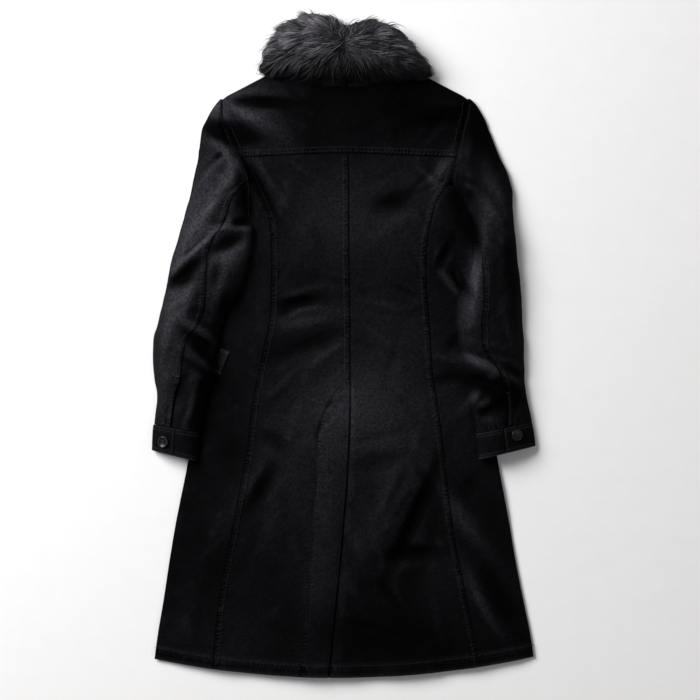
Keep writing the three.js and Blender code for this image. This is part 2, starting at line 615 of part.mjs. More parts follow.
// Where the elbow seam crosses a row, as a way round
function elbowWay({ sleeve, elbow, wayOf }, level) {
  let way = 0.5;
  for (let pass = 0; pass < 6; pass += 1) {
    const up = rowUp(sleeve, level, way);
    way = wayOf(up, elbow(up));
  }
  return way;
}

const sleeveRows = (sleeve) => [929, ...YOKE_ROWS.slice(1), ...ARMHOLE_ROWS, ...ARM_ROWS,
  sleeve.cuffTop.inner + SEAM_GAP];

// A sleeve piece as a wall; along a folded edge its thickness points straight in
function sleeveWall({ side, open, point, sleeve }, levels, waysOf) {
  const ways = levels.map(waysOf);
  const grid = ways.map((row, r) => row.map((way) => point(rowUp(sleeve, levels[r], way), way)));
  const normals = ways.map((row, r) => row.map((way) => {
    const up = rowUp(sleeve, levels[r], way);
    const onward = point(up, Math.min(2, way + 0.01)).sub(point(up, Math.max(0, way - 0.01)));
    const down = point(up - 1, way).sub(point(up + 1, way));
    const normal = onward.cross(down).multiplyScalar(-side).normalize();
    const folded = way < 0.02 || way > 1.98 ? 1 - open(levels[r]) : 0;
    return normal.lerp(new THREE.Vector3(-side, 0, 0), folded).normalize();
  }));
  return wall(grid, moved(grid, normals, -CLOTH));
}

function upperSleeve(name) {
  const reader = sleeveReader(name);
  const { sleeve, inner, outer } = reader;
  return sleeveWall(reader, sleeveRows(sleeve), (level) => {
    const gap = SEAM_GAP / (outer(level) - inner(level));
    const start = elbowWay(reader, level) + gap;
    return [...waysBetween(start, 1, 7), ...waysBetween(1, 2 - gap, 7).slice(1)];
  });
}

function underSleeve(name) {
  const reader = sleeveReader(name);
  const levels = sleeveRows(reader.sleeve).filter((level) => level < reader.sleeve.elbowTop);
  return sleeveWall(reader, levels, (level) => {
    const end = elbowWay(reader, level);
    return steps(5).map((t) => end * (1 - Math.cos((Math.PI / 2) * t)));
  });
}

// The cuff winds once round the wrist, and its tab laps over its own beginning
function cuff(name) {
  const { sleeve, point, wayOf, side, inner, outer } = sleeveReader(name);
  const wrist = mix(sleeve.cuffTop.outer, sleeve.cuffEnd.inner, 0.5);
  const span = outer(wrist) - inner(wrist);
  const tabWay = 1 - sleeve.tab.edge / span;
  const lapWay = tabWay + 17 / span;
  const ways = [lapWay, mix(lapWay, tabWay, 0.5), tabWay, tabWay - 0.05, tabWay - 0.12, tabWay / 2, tabWay / 4, 0.04]
    .concat(waysBetween(2, 1, 9), waysBetween(1, tabWay, 6).slice(1));
  const grid = steps(4).map((t) => ways.map((way) => {
    const across = way > 1 ? 2 - way : way;
    const top = mix(sleeve.cuffTop.inner, sleeve.cuffTop.outer, across);
    const end = mix(sleeve.cuffEnd.inner, sleeve.cuffEnd.outer, across);
    return point(mix(top, end, t), Math.min(way, 1.985));
  }));
  const normals = gridNormals(grid, side);
  const proud = ways.map((_, i) => mix(-1.9, 0.9, ease(1, 4.2, i)));
  const lifted = grid.map((row, r) => row.map((p, c) => {
    const placed = p.clone().addScaledVector(normals[r][c], proud[c]);
    placed.z = Math.max(placed.z, 0);
    return placed;
  }));
  return wall(lifted, moved(lifted, gridNormals(lifted, side), -1.7));
}

// One half of the fur collar: a rounded roll whose notch takes the coat's neck edge
function collar(side) {
  const places = [HALF_GAP, 10, 22, 36, 50, 64, 79, 95, 100, 108, 116, 123, 130, 135, 138];
  const sections = places.map((out) => {
    const x = side * out;
    const spread = out / FUR_END;
    const top = furTop(x);
    const low = FUR_LOW.middle + FUR_LOW.rise * spread ** 2;
    const crest = mix(FUR_CREST.middle, FUR_CREST.end, spread ** 2);
    const seam = neckline(x) + HALF_GAP;
    const tail = Math.min(frontNeckline(x) + HALF_GAP, seam);
    const rest = backHeight(x, neckline(x) - SEAM_GAP);
    const k = Math.min(1, (top - low) / 95);
    const f = Math.min(1, (top - tail) / 70);
    const path = [
      [low, rest + 7], [low + 7 * k, mix(rest, crest, 0.55)], [low + 20 * k, crest - 6], [low + 38 * k, crest],
      [top - 30 * k, crest - 2], [top - 13 * k, crest - 12], [top - 3 * k, crest * 0.62], [top, crest * 0.4],
      [top - 4 * f, 8], [top - 14 * f, 0], [mix(tail, top, 0.5), 0], [tail + 12 * f, 0], [tail + f, 2.5],
      [tail, Math.min(7, rest - 3)], [mix(tail, seam, 0.15), Math.min(11, rest - 2.6)],
      [mix(tail, seam, 0.6), rest - 2.4], [seam + 0.8, rest - 2.3], [seam, rest - 1.2], [seam, rest + 0.6],
      [mix(low, seam, 0.3), rest + 1.6],
    ];
    const shrink = (1 - spread ** 8) ** 0.5;
    const heart = [mix(seam, top, 0.45), crest * 0.42];
    return path.map(([y, z]) => new THREE.Vector3(x, mix(heart[0], y, shrink), mix(heart[1], z, shrink)));
  });
  return loft(sections);
}

// A sewn-on button with a raised rim round a dished face
function buttonShape({ radius, thick, rim }, turns) {
  const profile = [
    [0, 0], [radius - 1, 0], [radius, 0.8], [radius, thick - 0.6], [radius - 0.7, thick],
    [radius - rim, thick], [radius - rim - 0.7, thick - 0.8], [0, thick - 0.8],
  ].map(([r, z]) => new THREE.Vector2(r, z));
  return new THREE.LatheGeometry(profile, turns).rotateX(Math.PI / 2);
}

function placedButton(name, geometry, point, normal) {
  const mesh = new THREE.Mesh(geometry, HORN);
  mesh.name = name;
  mesh.position.copy(point);
  mesh.quaternion.setFromUnitVectors(new THREE.Vector3(0, 0, 1), normal);
  return mesh;
}

function cuffButton(name) {
  const { sleeve, point, wayOf } = sleeveReader(name);
  const place = sleeve.tab.button;
  const at = (dx, dy) => point(place.up + dy, wayOf(place.up + dy, place.x + dx));
  const reach = BUTTON.radius;
  const across = new THREE.Vector3().subVectors(at(reach, 0), at(-reach, 0));
  const along = new THREE.Vector3().subVectors(at(0, reach), at(0, -reach));
  const normal = across.cross(along).normalize();
  const seat = at(0, 0).addScaledVector(normal, 0.9 + SEAM_GAP);
  return placedButton(`cuff_button_${name}`, buttonShape(BUTTON, 20), seat, normal);
}

// A flat strip sewn down at both ends, bowed a little between them
function beltLoop({ x, up, turn }) {
  const angle = THREE.MathUtils.degToRad(turn);
  const outer = steps(7).map((t) => steps(2).map((s) => {
    const along = (t - 0.5) * LOOP.length;
    const across = (s - 0.5) * LOOP.width;
    const px = x + across * Math.cos(angle) + along * Math.sin(-angle);
    const py = up + along * Math.cos(angle) + across * Math.sin(angle);
    const bow = LOOP.bow * Math.sin(Math.PI * t) ** 0.7;
    return new THREE.Vector3(px, py, backHeight(px, py) + SEAM_GAP + LOOP.thick + bow);
  }));
  const inner = outer.map((row) => row.map((p) => new THREE.Vector3(p.x, p.y, p.z - LOOP.thick)));
  return wall(outer, inner);
}

const coat = new THREE.Group();

function add(name, geometry, material) {
  const mesh = new THREE.Mesh(geometry, material);
  mesh.name = name;
  coat.add(mesh);
}

add('yoke', yoke(), DENIM);
for (const [name, geometry] of Object.entries(backs())) add(name, geometry, DENIM);
add('side_back_left', sideBack(-1), DENIM);
add('side_back_right', sideBack(1), DENIM);
add('front_left', front(-1), DENIM);
add('front_right', front(1), DENIM);
for (const name of ['left', 'right']) {
  add(`upper_sleeve_${name}`, upperSleeve(name), DENIM);
  add(`under_sleeve_${name}`, underSleeve(name), DENIM);
  add(`cuff_${name}`, cuff(name), DENIM);
  add(`collar_${name}`, collar(name === 'left' ? -1 : 1), FUR_FINISH);
  coat.add(cuffButton(name));
}
for (const row of LOOPS) add(row.name, beltLoop(row), DENIM);
for (let i = 0; i < FRONT_BUTTONS.count; i += 1) {
  const place = new THREE.Vector3(0, FRONT_BUTTONS.first - i * FRONT_BUTTONS.pitch, 0);
  const face = new THREE.Vector3(0, 0, 1);
  coat.add(placedButton(`front_button_${i + 1}`, buttonShape(FLAT_BUTTON, 14), place, face));
}

// The origin is the middle of the coat's box, on the surface that it lies on
const box = new THREE.Box3().setFromObject(coat);
const middle = box.getCenter(new THREE.Vector3());
coat.position.set(-middle.x, -middle.y, -box.min.z);

export default coat;
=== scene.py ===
"""A women's long black denim coat with a fur collar, laid flat on its front and seen from straight above.

Lengths are in millimetres, as a cutter has them, and turn to metres where a mesh is made.
Heights along the coat ("up") are counted from the lowest point of the hem.
"""

import math

import bpy
import numpy as np
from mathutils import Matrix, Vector, kdtree


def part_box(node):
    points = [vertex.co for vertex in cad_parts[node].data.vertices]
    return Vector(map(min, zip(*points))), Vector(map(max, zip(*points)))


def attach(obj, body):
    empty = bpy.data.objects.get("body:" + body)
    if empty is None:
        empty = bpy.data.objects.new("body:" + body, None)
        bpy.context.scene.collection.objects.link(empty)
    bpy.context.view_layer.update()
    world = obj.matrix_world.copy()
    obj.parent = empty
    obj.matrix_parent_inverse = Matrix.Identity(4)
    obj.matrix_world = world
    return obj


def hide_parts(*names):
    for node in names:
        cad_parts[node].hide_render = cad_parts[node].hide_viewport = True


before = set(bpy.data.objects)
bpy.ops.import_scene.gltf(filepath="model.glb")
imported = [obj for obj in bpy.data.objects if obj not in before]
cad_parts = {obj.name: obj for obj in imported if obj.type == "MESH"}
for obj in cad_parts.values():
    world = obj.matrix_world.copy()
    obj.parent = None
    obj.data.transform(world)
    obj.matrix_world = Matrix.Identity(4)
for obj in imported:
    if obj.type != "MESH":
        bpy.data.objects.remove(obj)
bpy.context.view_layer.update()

MM = 0.001

# Cloth and seams
CLOTH = 1.3
SLIT_GAP = 2.2
SEAM_GAP = 0.3
HALF_GAP = SEAM_GAP / 2
LAY_GAP = 2
FRONT_CLOTH = 1.6
FRONT_SOLE = 0.35
EDGE_HEIGHT = 3.8
HEM_TURN = 21
HEM_RAISE = 0.8
VENT_TOP = 472
VENT_DROP = 2.6
UNDERLAP = 50
LAP_START = 0.5
YOKE_UP = 840
GRID = 3.6

# Seams are felled to one side, which leaves a welt with a row of stitches
WELT = {"wide": 8.5, "rise": 0.4}
YOKE_ROWS = (3.5, 10)
ARMHOLE_ROW = 6.5
PRINCESS_ROW = 7
ELBOW_ROW = 7
SLEEVE_HEAD_ROW = 5.5
HEM_ROW = 18.6
HEM_GROOVE = 18.5
FRONT_ROWS = (4, 34)
TOPSTITCH = {"pitch": 3.4, "long": 2.4, "thick": 0.55}
BAR_TACK = {"pitch": 0.85, "long": 3.4, "thick": 0.7}

# Shoulders and neck
SHOULDER = {"x": 197, "up": 933}
NECK = {"x": 95, "up": 986, "dip": 20, "scoop": 78}

# Seam rows run from under the yoke to the hem's own row; side backs start at the armpit
ROWS_TOP = 836
ROWS_FOOT = 24
ARMPIT_UP = 795

SEED = 11


def table(columns, *rows):
    """Rows of numbers under named columns."""
    names = columns.split()
    return [dict(zip(names, row)) for row in rows]


# The body's seams, read across the laid back
BODY = table(
    "up left left_princess centre right_princess right",
    (933, -197, -197, 5, 197, 197),
    (904, -196, -196, 5, 193, 193),
    (880, -187, -187, 5, 186, 186),
    (856, -176, -176, 5, 182, 182),
    (838, -166, -166, 5, 179, 179),
    (800, -151, -149, 6, 169, 171),
    (782, -150, -141, 6, 156, 178),
    (760, -150, -130, 6, 144, 196),
    (735, -150, -121, 6, 138, 206),
    (705, -150, -118, 6, 132, 214),
    (680, -158, -117, 6, 130, 213),
    (650, -172, -117, 7, 130, 209),
    (605, -188, -118, 7, 132, 205),
    (570, -198, -121, 8, 135, 205),
    (535, -207, -128, 8, 137, 208),
    (495, -217, -137, 8, 140, 213),
    (440, -230, -148, 7, 148, 224),
    (375, -247, -155, 5, 157, 241),
    (320, -258, -165, 2, 163, 251),
    (245, -273, -179, -4, 172, 265),
    (185, -283, -191, -9, 183, 275),
    (125, -292, -202, -15, 195, 287),
    (65, -302, -208, -21, 208, 299),
    (0, -310, -213, -28, 220, 308),
)

# Where the swell of the back comes down to the layer below
SWELL = table(
    "up left right rise",
    (990, -236, 236, 22),
    (900, -232, 230, 21),
    (840, -224, 222, 19),
    (790, -205, 204, 18),
    (740, -178, 184, 17),
    (700, -166, 176, 16),
    (650, -174, 178, 15),
    (605, -188, 188, 15),
    (535, -207, 206, 15),
    (440, -230, 224, 16),
    (320, -258, 251, 14),
    (185, -283, 275, 11),
    (65, -302, 299, 9),
    (0, -310, 308, 8),
)

# Soft ridges and troughs of the back, with half sizes along and across each
BACK_FOLDS = table(
    "x up along across turn lift",
    (-72, 604, 34, 9, 12, -10),  # left waist hollow
    (-54, 574, 56, 14, 12, 6),  # roll under the waist hollow
    (-56, 535, 48, 11, 22, -6),  # band under the roll
    (-66, 492, 80, 18, 34, 5),  # left hip roll
    (-104, 520, 40, 16, 40, -4),  # left hip hollow
    (-112, 379, 34, 14, -30, -5),  # left seat hollow
    (34, 428, 60, 44, 0, 7),  # seat swell
    (77, 515, 46, 9, 75, -4),  # right waist hollow
    (62, 352, 40, 12, 10, -4),  # right seat hollow
    (92, 768, 34, 16, 16, -7),  # right shoulder blade hollow
    (62, 712, 60, 18, 40, 4),  # right blade roll
    (116, 268, 84, 12, 66, -11),  # deep right crease
    (110, 200, 38, 13, 2, -8),  # crease foot
    (62, 264, 92, 26, 66, 6),  # roll beside the crease
    (176, 268, 86, 18, -62, 6),  # right skirt upper ridge
    (214, 190, 90, 18, -64, -6),  # right skirt hollow
    (218, 122, 64, 14, -56, 6),  # right skirt lower ridge
    (-166, 282, 80, 16, 62, 5),  # left skirt ridge
    (-134, 304, 50, 14, 58, -6),  # left skirt hollow
    (-238, 150, 90, 24, 72, 3),  # left skirt low roll
    (26, 892, 62, 20, 0, 4),  # yoke swell
    (-171, 936, 36, 9, 20, 7),  # left shoulder crest
    (-141, 925, 45, 9, -3, -6),  # hollow under the left shoulder
    (-155, 899, 42, 10, -38, 7),  # left shoulder ridge
    (-182, 888, 42, 9, -7, -6),  # left armhole hollow
    (-104, 752, 66, 18, 70, 4),  # left blade roll
    (-130, 798, 40, 8, -57, -6),  # left armpit crease
    (173, 920, 30, 8, -8, 6),  # right shoulder ridge
    (156, 894, 36, 10, 5, -5),  # right shoulder hollow
    (156, 814, 34, 11, 60, 5),  # right armhole ridge
)

# Finer creases of the back, which only the cloth itself shows
FINE_CREASES = table(
    "x up along across turn lift",
    (-72, 607, 22, 5, 6, -2.2),
    (77, 515, 40, 9, 75, 1.4),
    (-184, 874, 44, 15, -12, -4.6),
    (-190, 847, 48, 7, -41, 3.2),
    (-134, 791, 38, 6, -62, -4.0),
    (-136, 926, 46, 8, -4, -3.0),
    (-150, 903, 50, 9, -30, 3.0),
    (160, 682, 26, 7, 61, -3.0),
    (168, 636, 28, 8, -49, 3.0),
    (188, 636, 26, 8, -60, -3.0),
    (168, 514, 26, 8, -10, 2.0),
    (163, 482, 26, 8, 10, -2.0),
    (48, 80, 46, 6, -16, -1.6),
    (70, 136, 20, 6, -60, -1.3),
    (140, 800, 30, 5, -40, 1.6),
    (128, 786, 26, 5, 28, -1.4),
    (-60, 618, 26, 5, 8, -1.6),
    (-92, 590, 24, 5, 22, -1.2),
    (-40, 596, 30, 6, -6, 1.1),
    (-20, 640, 34, 7, -14, -0.9),
    (30, 622, 30, 6, 12, -1.1),
    (64, 600, 34, 6, -10, 1.0),
    (98, 622, 26, 5, -24, -1.3),
    (118, 590, 24, 6, 20, -1.0),
    (-104, 650, 26, 6, 60, -1.0),
    (112, 668, 30, 6, -62, -1.1),
    (20, 540, 44, 8, -20, -1.0),
    (58, 548, 40, 7, -34, 1.1),
    (-34, 520, 44, 8, 30, 1.0),
    (-90, 470, 50, 8, 48, -1.1),
    (96, 440, 52, 8, -52, -1.0),
    (-20, 444, 26, 6, 12, -1.2),
    (60, 392, 46, 9, 16, -1.0),
    (-84, 404, 54, 9, 72, 1.1),
    (112, 372, 56, 9, 78, 1.0),
    (132, 318, 50, 8, -58, -1.2),
    (84, 306, 60, 8, 62, -1.5),
    (128, 226, 44, 7, 74, 1.3),
    (70, 170, 52, 9, 80, -1.0),
    (20, 232, 70, 12, 84, 0.9),
    (-96, 244, 70, 12, 86, -0.9),
    (-150, 214, 60, 10, 70, -1.1),
    (-206, 250, 56, 9, 66, 1.1),
    (180, 190, 60, 9, -66, -1.3),
    (236, 150, 44, 8, -58, 1.2),
    (-232, 96, 50, 10, 80, -0.9),
    (150, 96, 46, 9, -78, 0.9),
    (-60, 812, 40, 7, -30, 0.8),
    (60, 806, 44, 7, 26, -0.9),
    (120, 796, 34, 6, 50, -1.4),
    (-116, 806, 34, 6, -56, -1.2),
    (-136, 756, 30, 6, 66, 1.0),
    (128, 740, 30, 6, -60, -1.0),
    (24, 720, 60, 10, 60, 0.8),
    (-40, 700, 60, 9, -64, -0.8),
    (-70, 900, 40, 7, -22, -1.0),
    (84, 910, 40, 7, 24, -1.0),
    (142, 884, 30, 6, 48, -1.5),
    (-160, 880, 26, 5, -58, -1.5),
)

# Where wear has faded the dye most, and where light is painted onto lit slopes and ridges, as soft patches of
# the same form as the folds
FADES_AND_PAINTED_LIGHT = table(
    "x up along across turn lift",
    (24, 425, 110, 90, 0, 0.38),  # seat
    (0, 745, 110, 80, 0, 0.2),  # shoulder blades
    (74, 566, 70, 50, 0, 0.14),  # right waist
    (96, 760, 60, 70, 0, 0.12),  # right shoulder blade
    (-96, 300, 50, 140, 0, 0.12),  # left of the vent
    (-190, 60, 110, 60, 0, 0.05),  # left hem
    (-50, 574, 60, 18, 12, 0.12),  # roll under the waist hollow
    (34, 888, 60, 22, 0, 0.05),  # yoke swell
    (-150, 903, 60, 24, -40, 0.62),  # left shoulder
    (-192, 846, 56, 12, -41, 0.7),  # ridge below it
    (-204, 912, 30, 16, -62, 0.6),  # crown of the left sleeve
    (-176, 934, 40, 9, 20, 0.4),  # left shoulder crest
    (173, 920, 36, 10, -8, 0.3),  # right shoulder
    (162, 818, 30, 15, 56, 0.55),  # right armhole
    (146, 772, 40, 8, 72, 0.28),  # welt below it
    (-36, 250, 210, 22, 86, 0.2),  # over the vent's underlap
    (58, 268, 96, 26, 66, 0.13),  # roll beside the crease
    (188, 258, 70, 13, -55, 0.3),  # right skirt ridge
    (222, 130, 68, 13, -59, 0.2),  # lower ridge
    (-166, 282, 80, 14, 62, 0.08),  # left skirt ridge
    (-226, 745, 130, 36, 66, 0.66),  # left sleeve
    (-227, 694, 60, 8, 42, 1.1),  # its long ridge
    (-166, 690, 46, 13, 82, 0.8),  # its inner edge
    (-192, 676, 34, 10, 12, 0.6),  # band under the hollow
    (-198, 632, 58, 16, 78, 0.5),  # inside the elbow
    (-262, 610, 60, 22, 76, 0.3),  # left elbow
    (-288, 500, 110, 20, 84, 0.26),  # left forearm
    (212, 664, 64, 12, 82, 0.95),  # right sleeve's inner ridge
    (242, 770, 66, 30, 84, 0.14),  # right upper arm
    (202, 596, 40, 16, 74, 0.3),  # right elbow
    (288, 560, 120, 16, 86, 0.14),  # right forearm
    (222, 503, 40, 7, -24, 0.6),  # right elbow fold
    (214, 464, 32, 6, 50, 0.6),  # fold below it
)

# Painted shade in deep creases and hollows and under the fur collar, as soft patches of the same form as the
# folds
PAINTED_SHADES = table(
    "x up along across turn lift",
    (-72, 607, 26, 7, 8, 1.2),  # left waist hollow
    (-96, 594, 12, 7, 50, 0.8),  # its left end
    (-58, 540, 46, 11, 18, 0.45),  # band under the roll
    (76, 766, 34, 18, 10, 0.75),  # right shoulder blade
    (150, 905, 80, 34, 0, 0.75),  # right end of the yoke
    (40, 935, 120, 26, 0, 0.6),  # under the fur
    (10, 893, 90, 28, 0, 0.5),  # middle of the yoke
    (222, 872, 70, 24, -62, 0.95),  # right sleeve cap
    (-180, 874, 50, 17, -10, 1.6),  # hollow of the left shoulder
    (-124, 924, 52, 11, -4, 1.1),  # under the left shoulder seam
    (-138, 790, 56, 9, -60, 1.5),  # left armpit
    (-156, 762, 30, 9, -80, 1.3),  # opening at the left armpit
    (196, 733, 56, 14, -68, 1.3),  # opening at the right armpit
    (160, 682, 28, 8, 61, 0.8),  # side of the waist
    (188, 636, 28, 8, -60, 0.8),  # beside the right elbow
    (172, 542, 16, 7, 60, 0.7),  # beside the right forearm
    (163, 482, 26, 9, 10, 0.5),  # below it
    (230, 469, 48, 14, -20, 1.4),  # below the right elbow fold
    (258, 448, 26, 18, 20, 1.1),  # above the right cuff
    (-228, 527, 26, 10, -38, 1.3),  # black notch of the left sleeve
    (-205, 648, 20, 8, 80, 0.6),  # beside the left elbow seam
    (-195, 600, 38, 7, 76, 0.6),  # inner edge of the left sleeve
    (-186, 698, 34, 10, 25, 1.0),  # above the left elbow
    (-243, 662, 24, 10, 36, 1.1),  # under the long ridge
    (-264, 639, 26, 11, 12, 1.0),  # outside the left elbow
    (118, 272, 84, 11, 66, 1.1),  # deep right crease
    (100, 204, 34, 11, 2, 0.9),  # its foot
    (246, 132, 70, 20, -64, 0.85),  # right skirt
    (200, 318, 20, 9, 50, 0.6),  # right hip
    (137, 262, 62, 10, 72, 0.75),  # right side of the crease
    (102, 162, 42, 20, 60, 0.5),  # below its foot
    (264, 668, 40, 13, -84, 0.75),  # outside the right elbow
    (50, 66, 130, 46, -4, 0.75),  # low middle of the skirt
    (70, 136, 22, 7, -60, 0.45),  # above it
    (-134, 306, 34, 12, 58, 0.9),  # left skirt
    (-186, 366, 30, 22, 80, 0.6),  # left hip
    (45, 347, 40, 16, 6, 0.4),  # right seat
    (-112, 384, 26, 14, -30, 0.4),  # left seat
    (-212, 160, 60, 24, 76, 0.4),  # left hem
)

# Sleeves: outer and inner edge, elbow seam and swell, by height
SLEEVE_TOP = 931.2
SLEEVE_ROLL = 4.6
LEFT_SLEEVE = table(
    "up outer inner elbow rise",
    (931.5, 200, 197.5, 197.5, 3),
    (922, 209, 197.3, 197.3, 5),
    (902, 221, 196.3, 196.3, 7),
    (880, 231, 187.3, 187.3, 10),
    (845, 235, 170, 170, 14),
    (806, 242, 153, 155, 18),
    (768, 251, 149, 181, 23),
    (735, 261, 147.4, 192, 27),
    (700, 271, 147.6, 212, 29),
    (675, 279, 154, 220, 30),
    (624, 289, 169, 222, 29),
    (600, 294, 186, 223, 28),
    (570, 300, 198, 233, 27),
    (544, 306, 202.6, 252, 27),
    (515, 309, 208.4, 259, 25),
    (482, 307, 213.6, 262, 23),
    (456, 302, 221, 270, 20),
    (422, 306, 228, 276, 18),
    (390, 309, 234, 278, 16),
    (340, 311, 239, 279, 14),
)
RIGHT_SLEEVE = table(
    "up outer inner elbow rise",
    (931.5, 201, 197.5, 197.5, 3),
    (922, 210, 196.4, 196.4, 4),
    (902, 222, 193.3, 193.3, 5),
    (880, 232, 186.3, 186.3, 7),
    (845, 246, 180.8, 180.8, 10),
    (800, 264, 171.8, 171.8, 14),
    (782, 268, 179, 179, 17),
    (760, 270, 192, 192, 20),
    (735, 272, 202, 202, 24),
    (706, 274, 208, 209, 27),
    (680, 276, 207, 218, 28),
    (640, 280, 198, 222, 27),
    (605, 283, 180, 222, 27),
    (570, 286, 179, 219, 27),
    (541, 288, 182, 219, 26),
    (518, 288, 188, 229, 25),
    (490, 288, 193, 248, 24),
    (454, 292, 199, 257, 21),
    (418, 299, 208, 258, 18),
    (380, 305, 212, 258, 16),
    (340, 309, 216, 258, 14),
)
LEFT_SLEEVE_FOLDS = table(
    "x up along across turn lift",
    (-190, 884, 36, 10, -7, -8),  # hollow below the shoulder
    (-196, 854, 50, 11, -38, 7),  # ridge from the shoulder
    (-214, 752, 84, 14, 56, 9),  # long upper ridge
    (-178, 706, 28, 13, 30, -9),  # hollow above the elbow
    (-262, 642, 30, 13, 24, -9),  # outer hollow
    (-246, 618, 50, 12, 70, 6),  # elbow ridge
    (-222, 536, 32, 9, -32, -10),  # black notch
    (-230, 558, 34, 9, -30, 6),  # ridge above the notch
    (-282, 560, 46, 12, 78, 5),  # lower sleeve roll
    (-244, 444, 34, 9, 74, 6),  # wrinkle above the cuff
    (-262, 470, 30, 8, 66, -5),  # hollow above the cuff
)
RIGHT_SLEEVE_FOLDS = table(
    "x up along across turn lift",
    (214, 850, 50, 14, 66, -6),  # hollow below the shoulder
    (240, 790, 60, 16, -70, 4),  # outer shoulder roll
    (212, 752, 34, 12, -60, -5),  # inner hollow
    (214, 662, 56, 8, 82, 7),  # bright inner ridge
    (252, 620, 70, 18, -84, 4),  # elbow swell
    (218, 508, 40, 9, -20, 7),  # fold at the elbow
    (226, 476, 36, 9, -24, -9),  # hollow below the elbow
    (232, 450, 34, 8, 40, 6),  # second wrinkle
    (222, 430, 24, 8, 10, -6),  # hollow above the cuff
    (272, 492, 24, 8, -30, -6),  # outer crease
)

# Finer creases of the sleeves, which only the cloth itself shows
LEFT_SLEEVE_CREASES = table(
    "x up along across turn lift",
    (-227, 694, 60, 6, 42, 5.4),
    (-243, 662, 26, 10, 36, -4.0),
    (-264, 640, 26, 11, 10, -3.0),
    (-246, 690, 40, 10, 40, -2.5),
    (-186, 698, 32, 9, 25, -3.0),
    (-205, 648, 18, 7, 80, -2.4),
    (-228, 527, 26, 9, -38, -4.0),
    (-214, 500, 34, 7, -46, 2.6),
    (-190, 874, 42, 14, -14, -4.8),
    (-190, 848, 50, 8, -41, 5.0),
    (-200, 840, 30, 5, 40, -1.6),
    (-216, 812, 34, 6, 52, 1.3),
    (-190, 780, 26, 5, 30, -1.5),
    (-236, 716, 34, 6, 50, -1.5),
    (-204, 684, 26, 5, 24, 1.4),
    (-262, 684, 30, 6, 70, 1.2),
    (-232, 590, 26, 5, -16, -1.8),
    (-262, 596, 30, 5, 30, -1.5),
    (-276, 532, 34, 6, 74, -1.3),
    (-246, 506, 28, 5, -36, -1.8),
    (-288, 476, 30, 5, 80, 1.2),
    (-254, 432, 24, 5, 60, -1.3),
    (-284, 430, 22, 5, 70, -1.2),
)
RIGHT_SLEEVE_CREASES = table(
    "x up along across turn lift",
    (206, 868, 28, 5, -48, -1.6),
    (217, 459, 34, 7, 49, 3.0),
    (226, 502, 40, 6, -25, 3.4),
    (214, 464, 30, 6, 50, 3.0),
    (196, 800, 26, 5, -26, -1.6),
    (244, 756, 34, 6, -64, -1.4),
    (228, 700, 30, 6, -50, 1.3),
    (262, 690, 34, 6, -84, -1.2),
    (232, 580, 30, 6, 64, -1.3),
    (200, 556, 28, 5, 20, -1.7),
    (262, 556, 32, 6, -76, 1.3),
    (240, 526, 26, 5, -14, -1.8),
    (204, 470, 22, 4, -18, 1.4),
    (262, 458, 26, 5, 60, -1.4),
    (280, 434, 22, 5, 74, 1.1),
)
SLEEVES = {
    "left": {
        "side": -1,
        "elbow_top": 806,
        "under_top": 795,
        "cuff_top": {"outer": 408, "inner": 396},
        "cuff_end": {"outer": 367, "inner": 350},
        "tab": {"edge": 35, "x": -290, "up": 381},
        "opening": {"from": 735, "to": 718},
        "slit_top": 480,
        "edges": LEFT_SLEEVE,
        "folds": LEFT_SLEEVE_FOLDS,
        "creases": LEFT_SLEEVE_CREASES,
    },
    "right": {
        "side": 1,
        "elbow_top": 706,
        "under_top": 700,
        "cuff_top": {"outer": 412, "inner": 394},
        "cuff_end": {"outer": 374, "inner": 353},
        "tab": {"edge": 48, "x": 274, "up": 392},
        "opening": {"from": 782, "to": 750},
        "slit_top": 448,
        "edges": RIGHT_SLEEVE,
        "folds": RIGHT_SLEEVE_FOLDS,
        "creases": RIGHT_SLEEVE_CREASES,
    },
}

# The fur collar's outline at the head end, and its lower edge on the yoke
FUR = table(
    "x top",
    (-138, 1000),
    (-128, 1022),
    (-112, 1042),
    (-88, 1059),
    (-62, 1067),
    (-30, 1066),
    (-4, 1052),
    (6, 1052),
    (40, 1058),
    (68, 1053),
    (91, 1036),
    (112, 1013),
    (126, 996),
    (138, 984),
)
FUR_END = 139
FUR_LOW = {"middle": 953, "rise": 10}
FUR_CREST = {"middle": 62, "end": 34}
FUR_SKIN = {"across": 0.8, "ends": 0.93}
FUR_PARTING = {"low": 1000, "high": 1024}
STRANDS = {"count": 9300, "steps": 4, "long": 38, "spread": 8, "root": 0.62, "lift": 10, "tufts": 420}

# Front edges, and the buttons between them and the surface
FRONT_EDGE = {"left": -30, "right": -34}
FRONT_BUTTONS = {"count": 5, "first": 872, "pitch": 128, "bed": 12, "slope": 15, "thick": 2.4}
CUFF_BUTTON = {"radius": 9, "thick": 3.2, "rim": 1.7}
FLAT_BUTTON = {"radius": 9, "thick": 2.4, "rim": 1.5}

# Belt loops at the waist, one at each side seam
LOOPS = {
    "left": {"x": -201, "up": 510, "turn": -23},
    "right": {"x": 200, "up": 512, "turn": 14},
}
LOOP = {"wide": 17, "long": 40, "thick": 1.4, "bow": 2.2, "room": 4.6}

# The vent's stitching on the left half of the back, from its top to the hem
VENT_ROW = table(
    "x up",
    (-3, 480),
    (-18, 458),
    (-32, 432),
    (-41, 410),
    (-46, 387),
    (-45, 363),
    (-49, 300),
    (-53, 242),
    (-58, 170),
    (-62, 104),
    (-68, 64),
    (-72, 24),
)
VENT_BARS = [((-42, 387), (-20, 399), (3, 405)), ((-42, 354), (-30, 361), (-20, 366))]

# The place of the part's zero in the frame, from the top front button
button_low, button_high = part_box("front_button_1")
PART_ZERO = np.array(
    [
        (button_low.x + button_high.x) / 2 / MM,
        (button_low.y + button_high.y) / 2 / MM - FRONT_BUTTONS["first"],
        0,
    ]
)


def mix(a, b, t):
    return a + (b - a) * t


def ease(start, end, value):
    t = np.clip((value - start) / (end - start), 0, 1)
    return t * t * (3 - 2 * t)


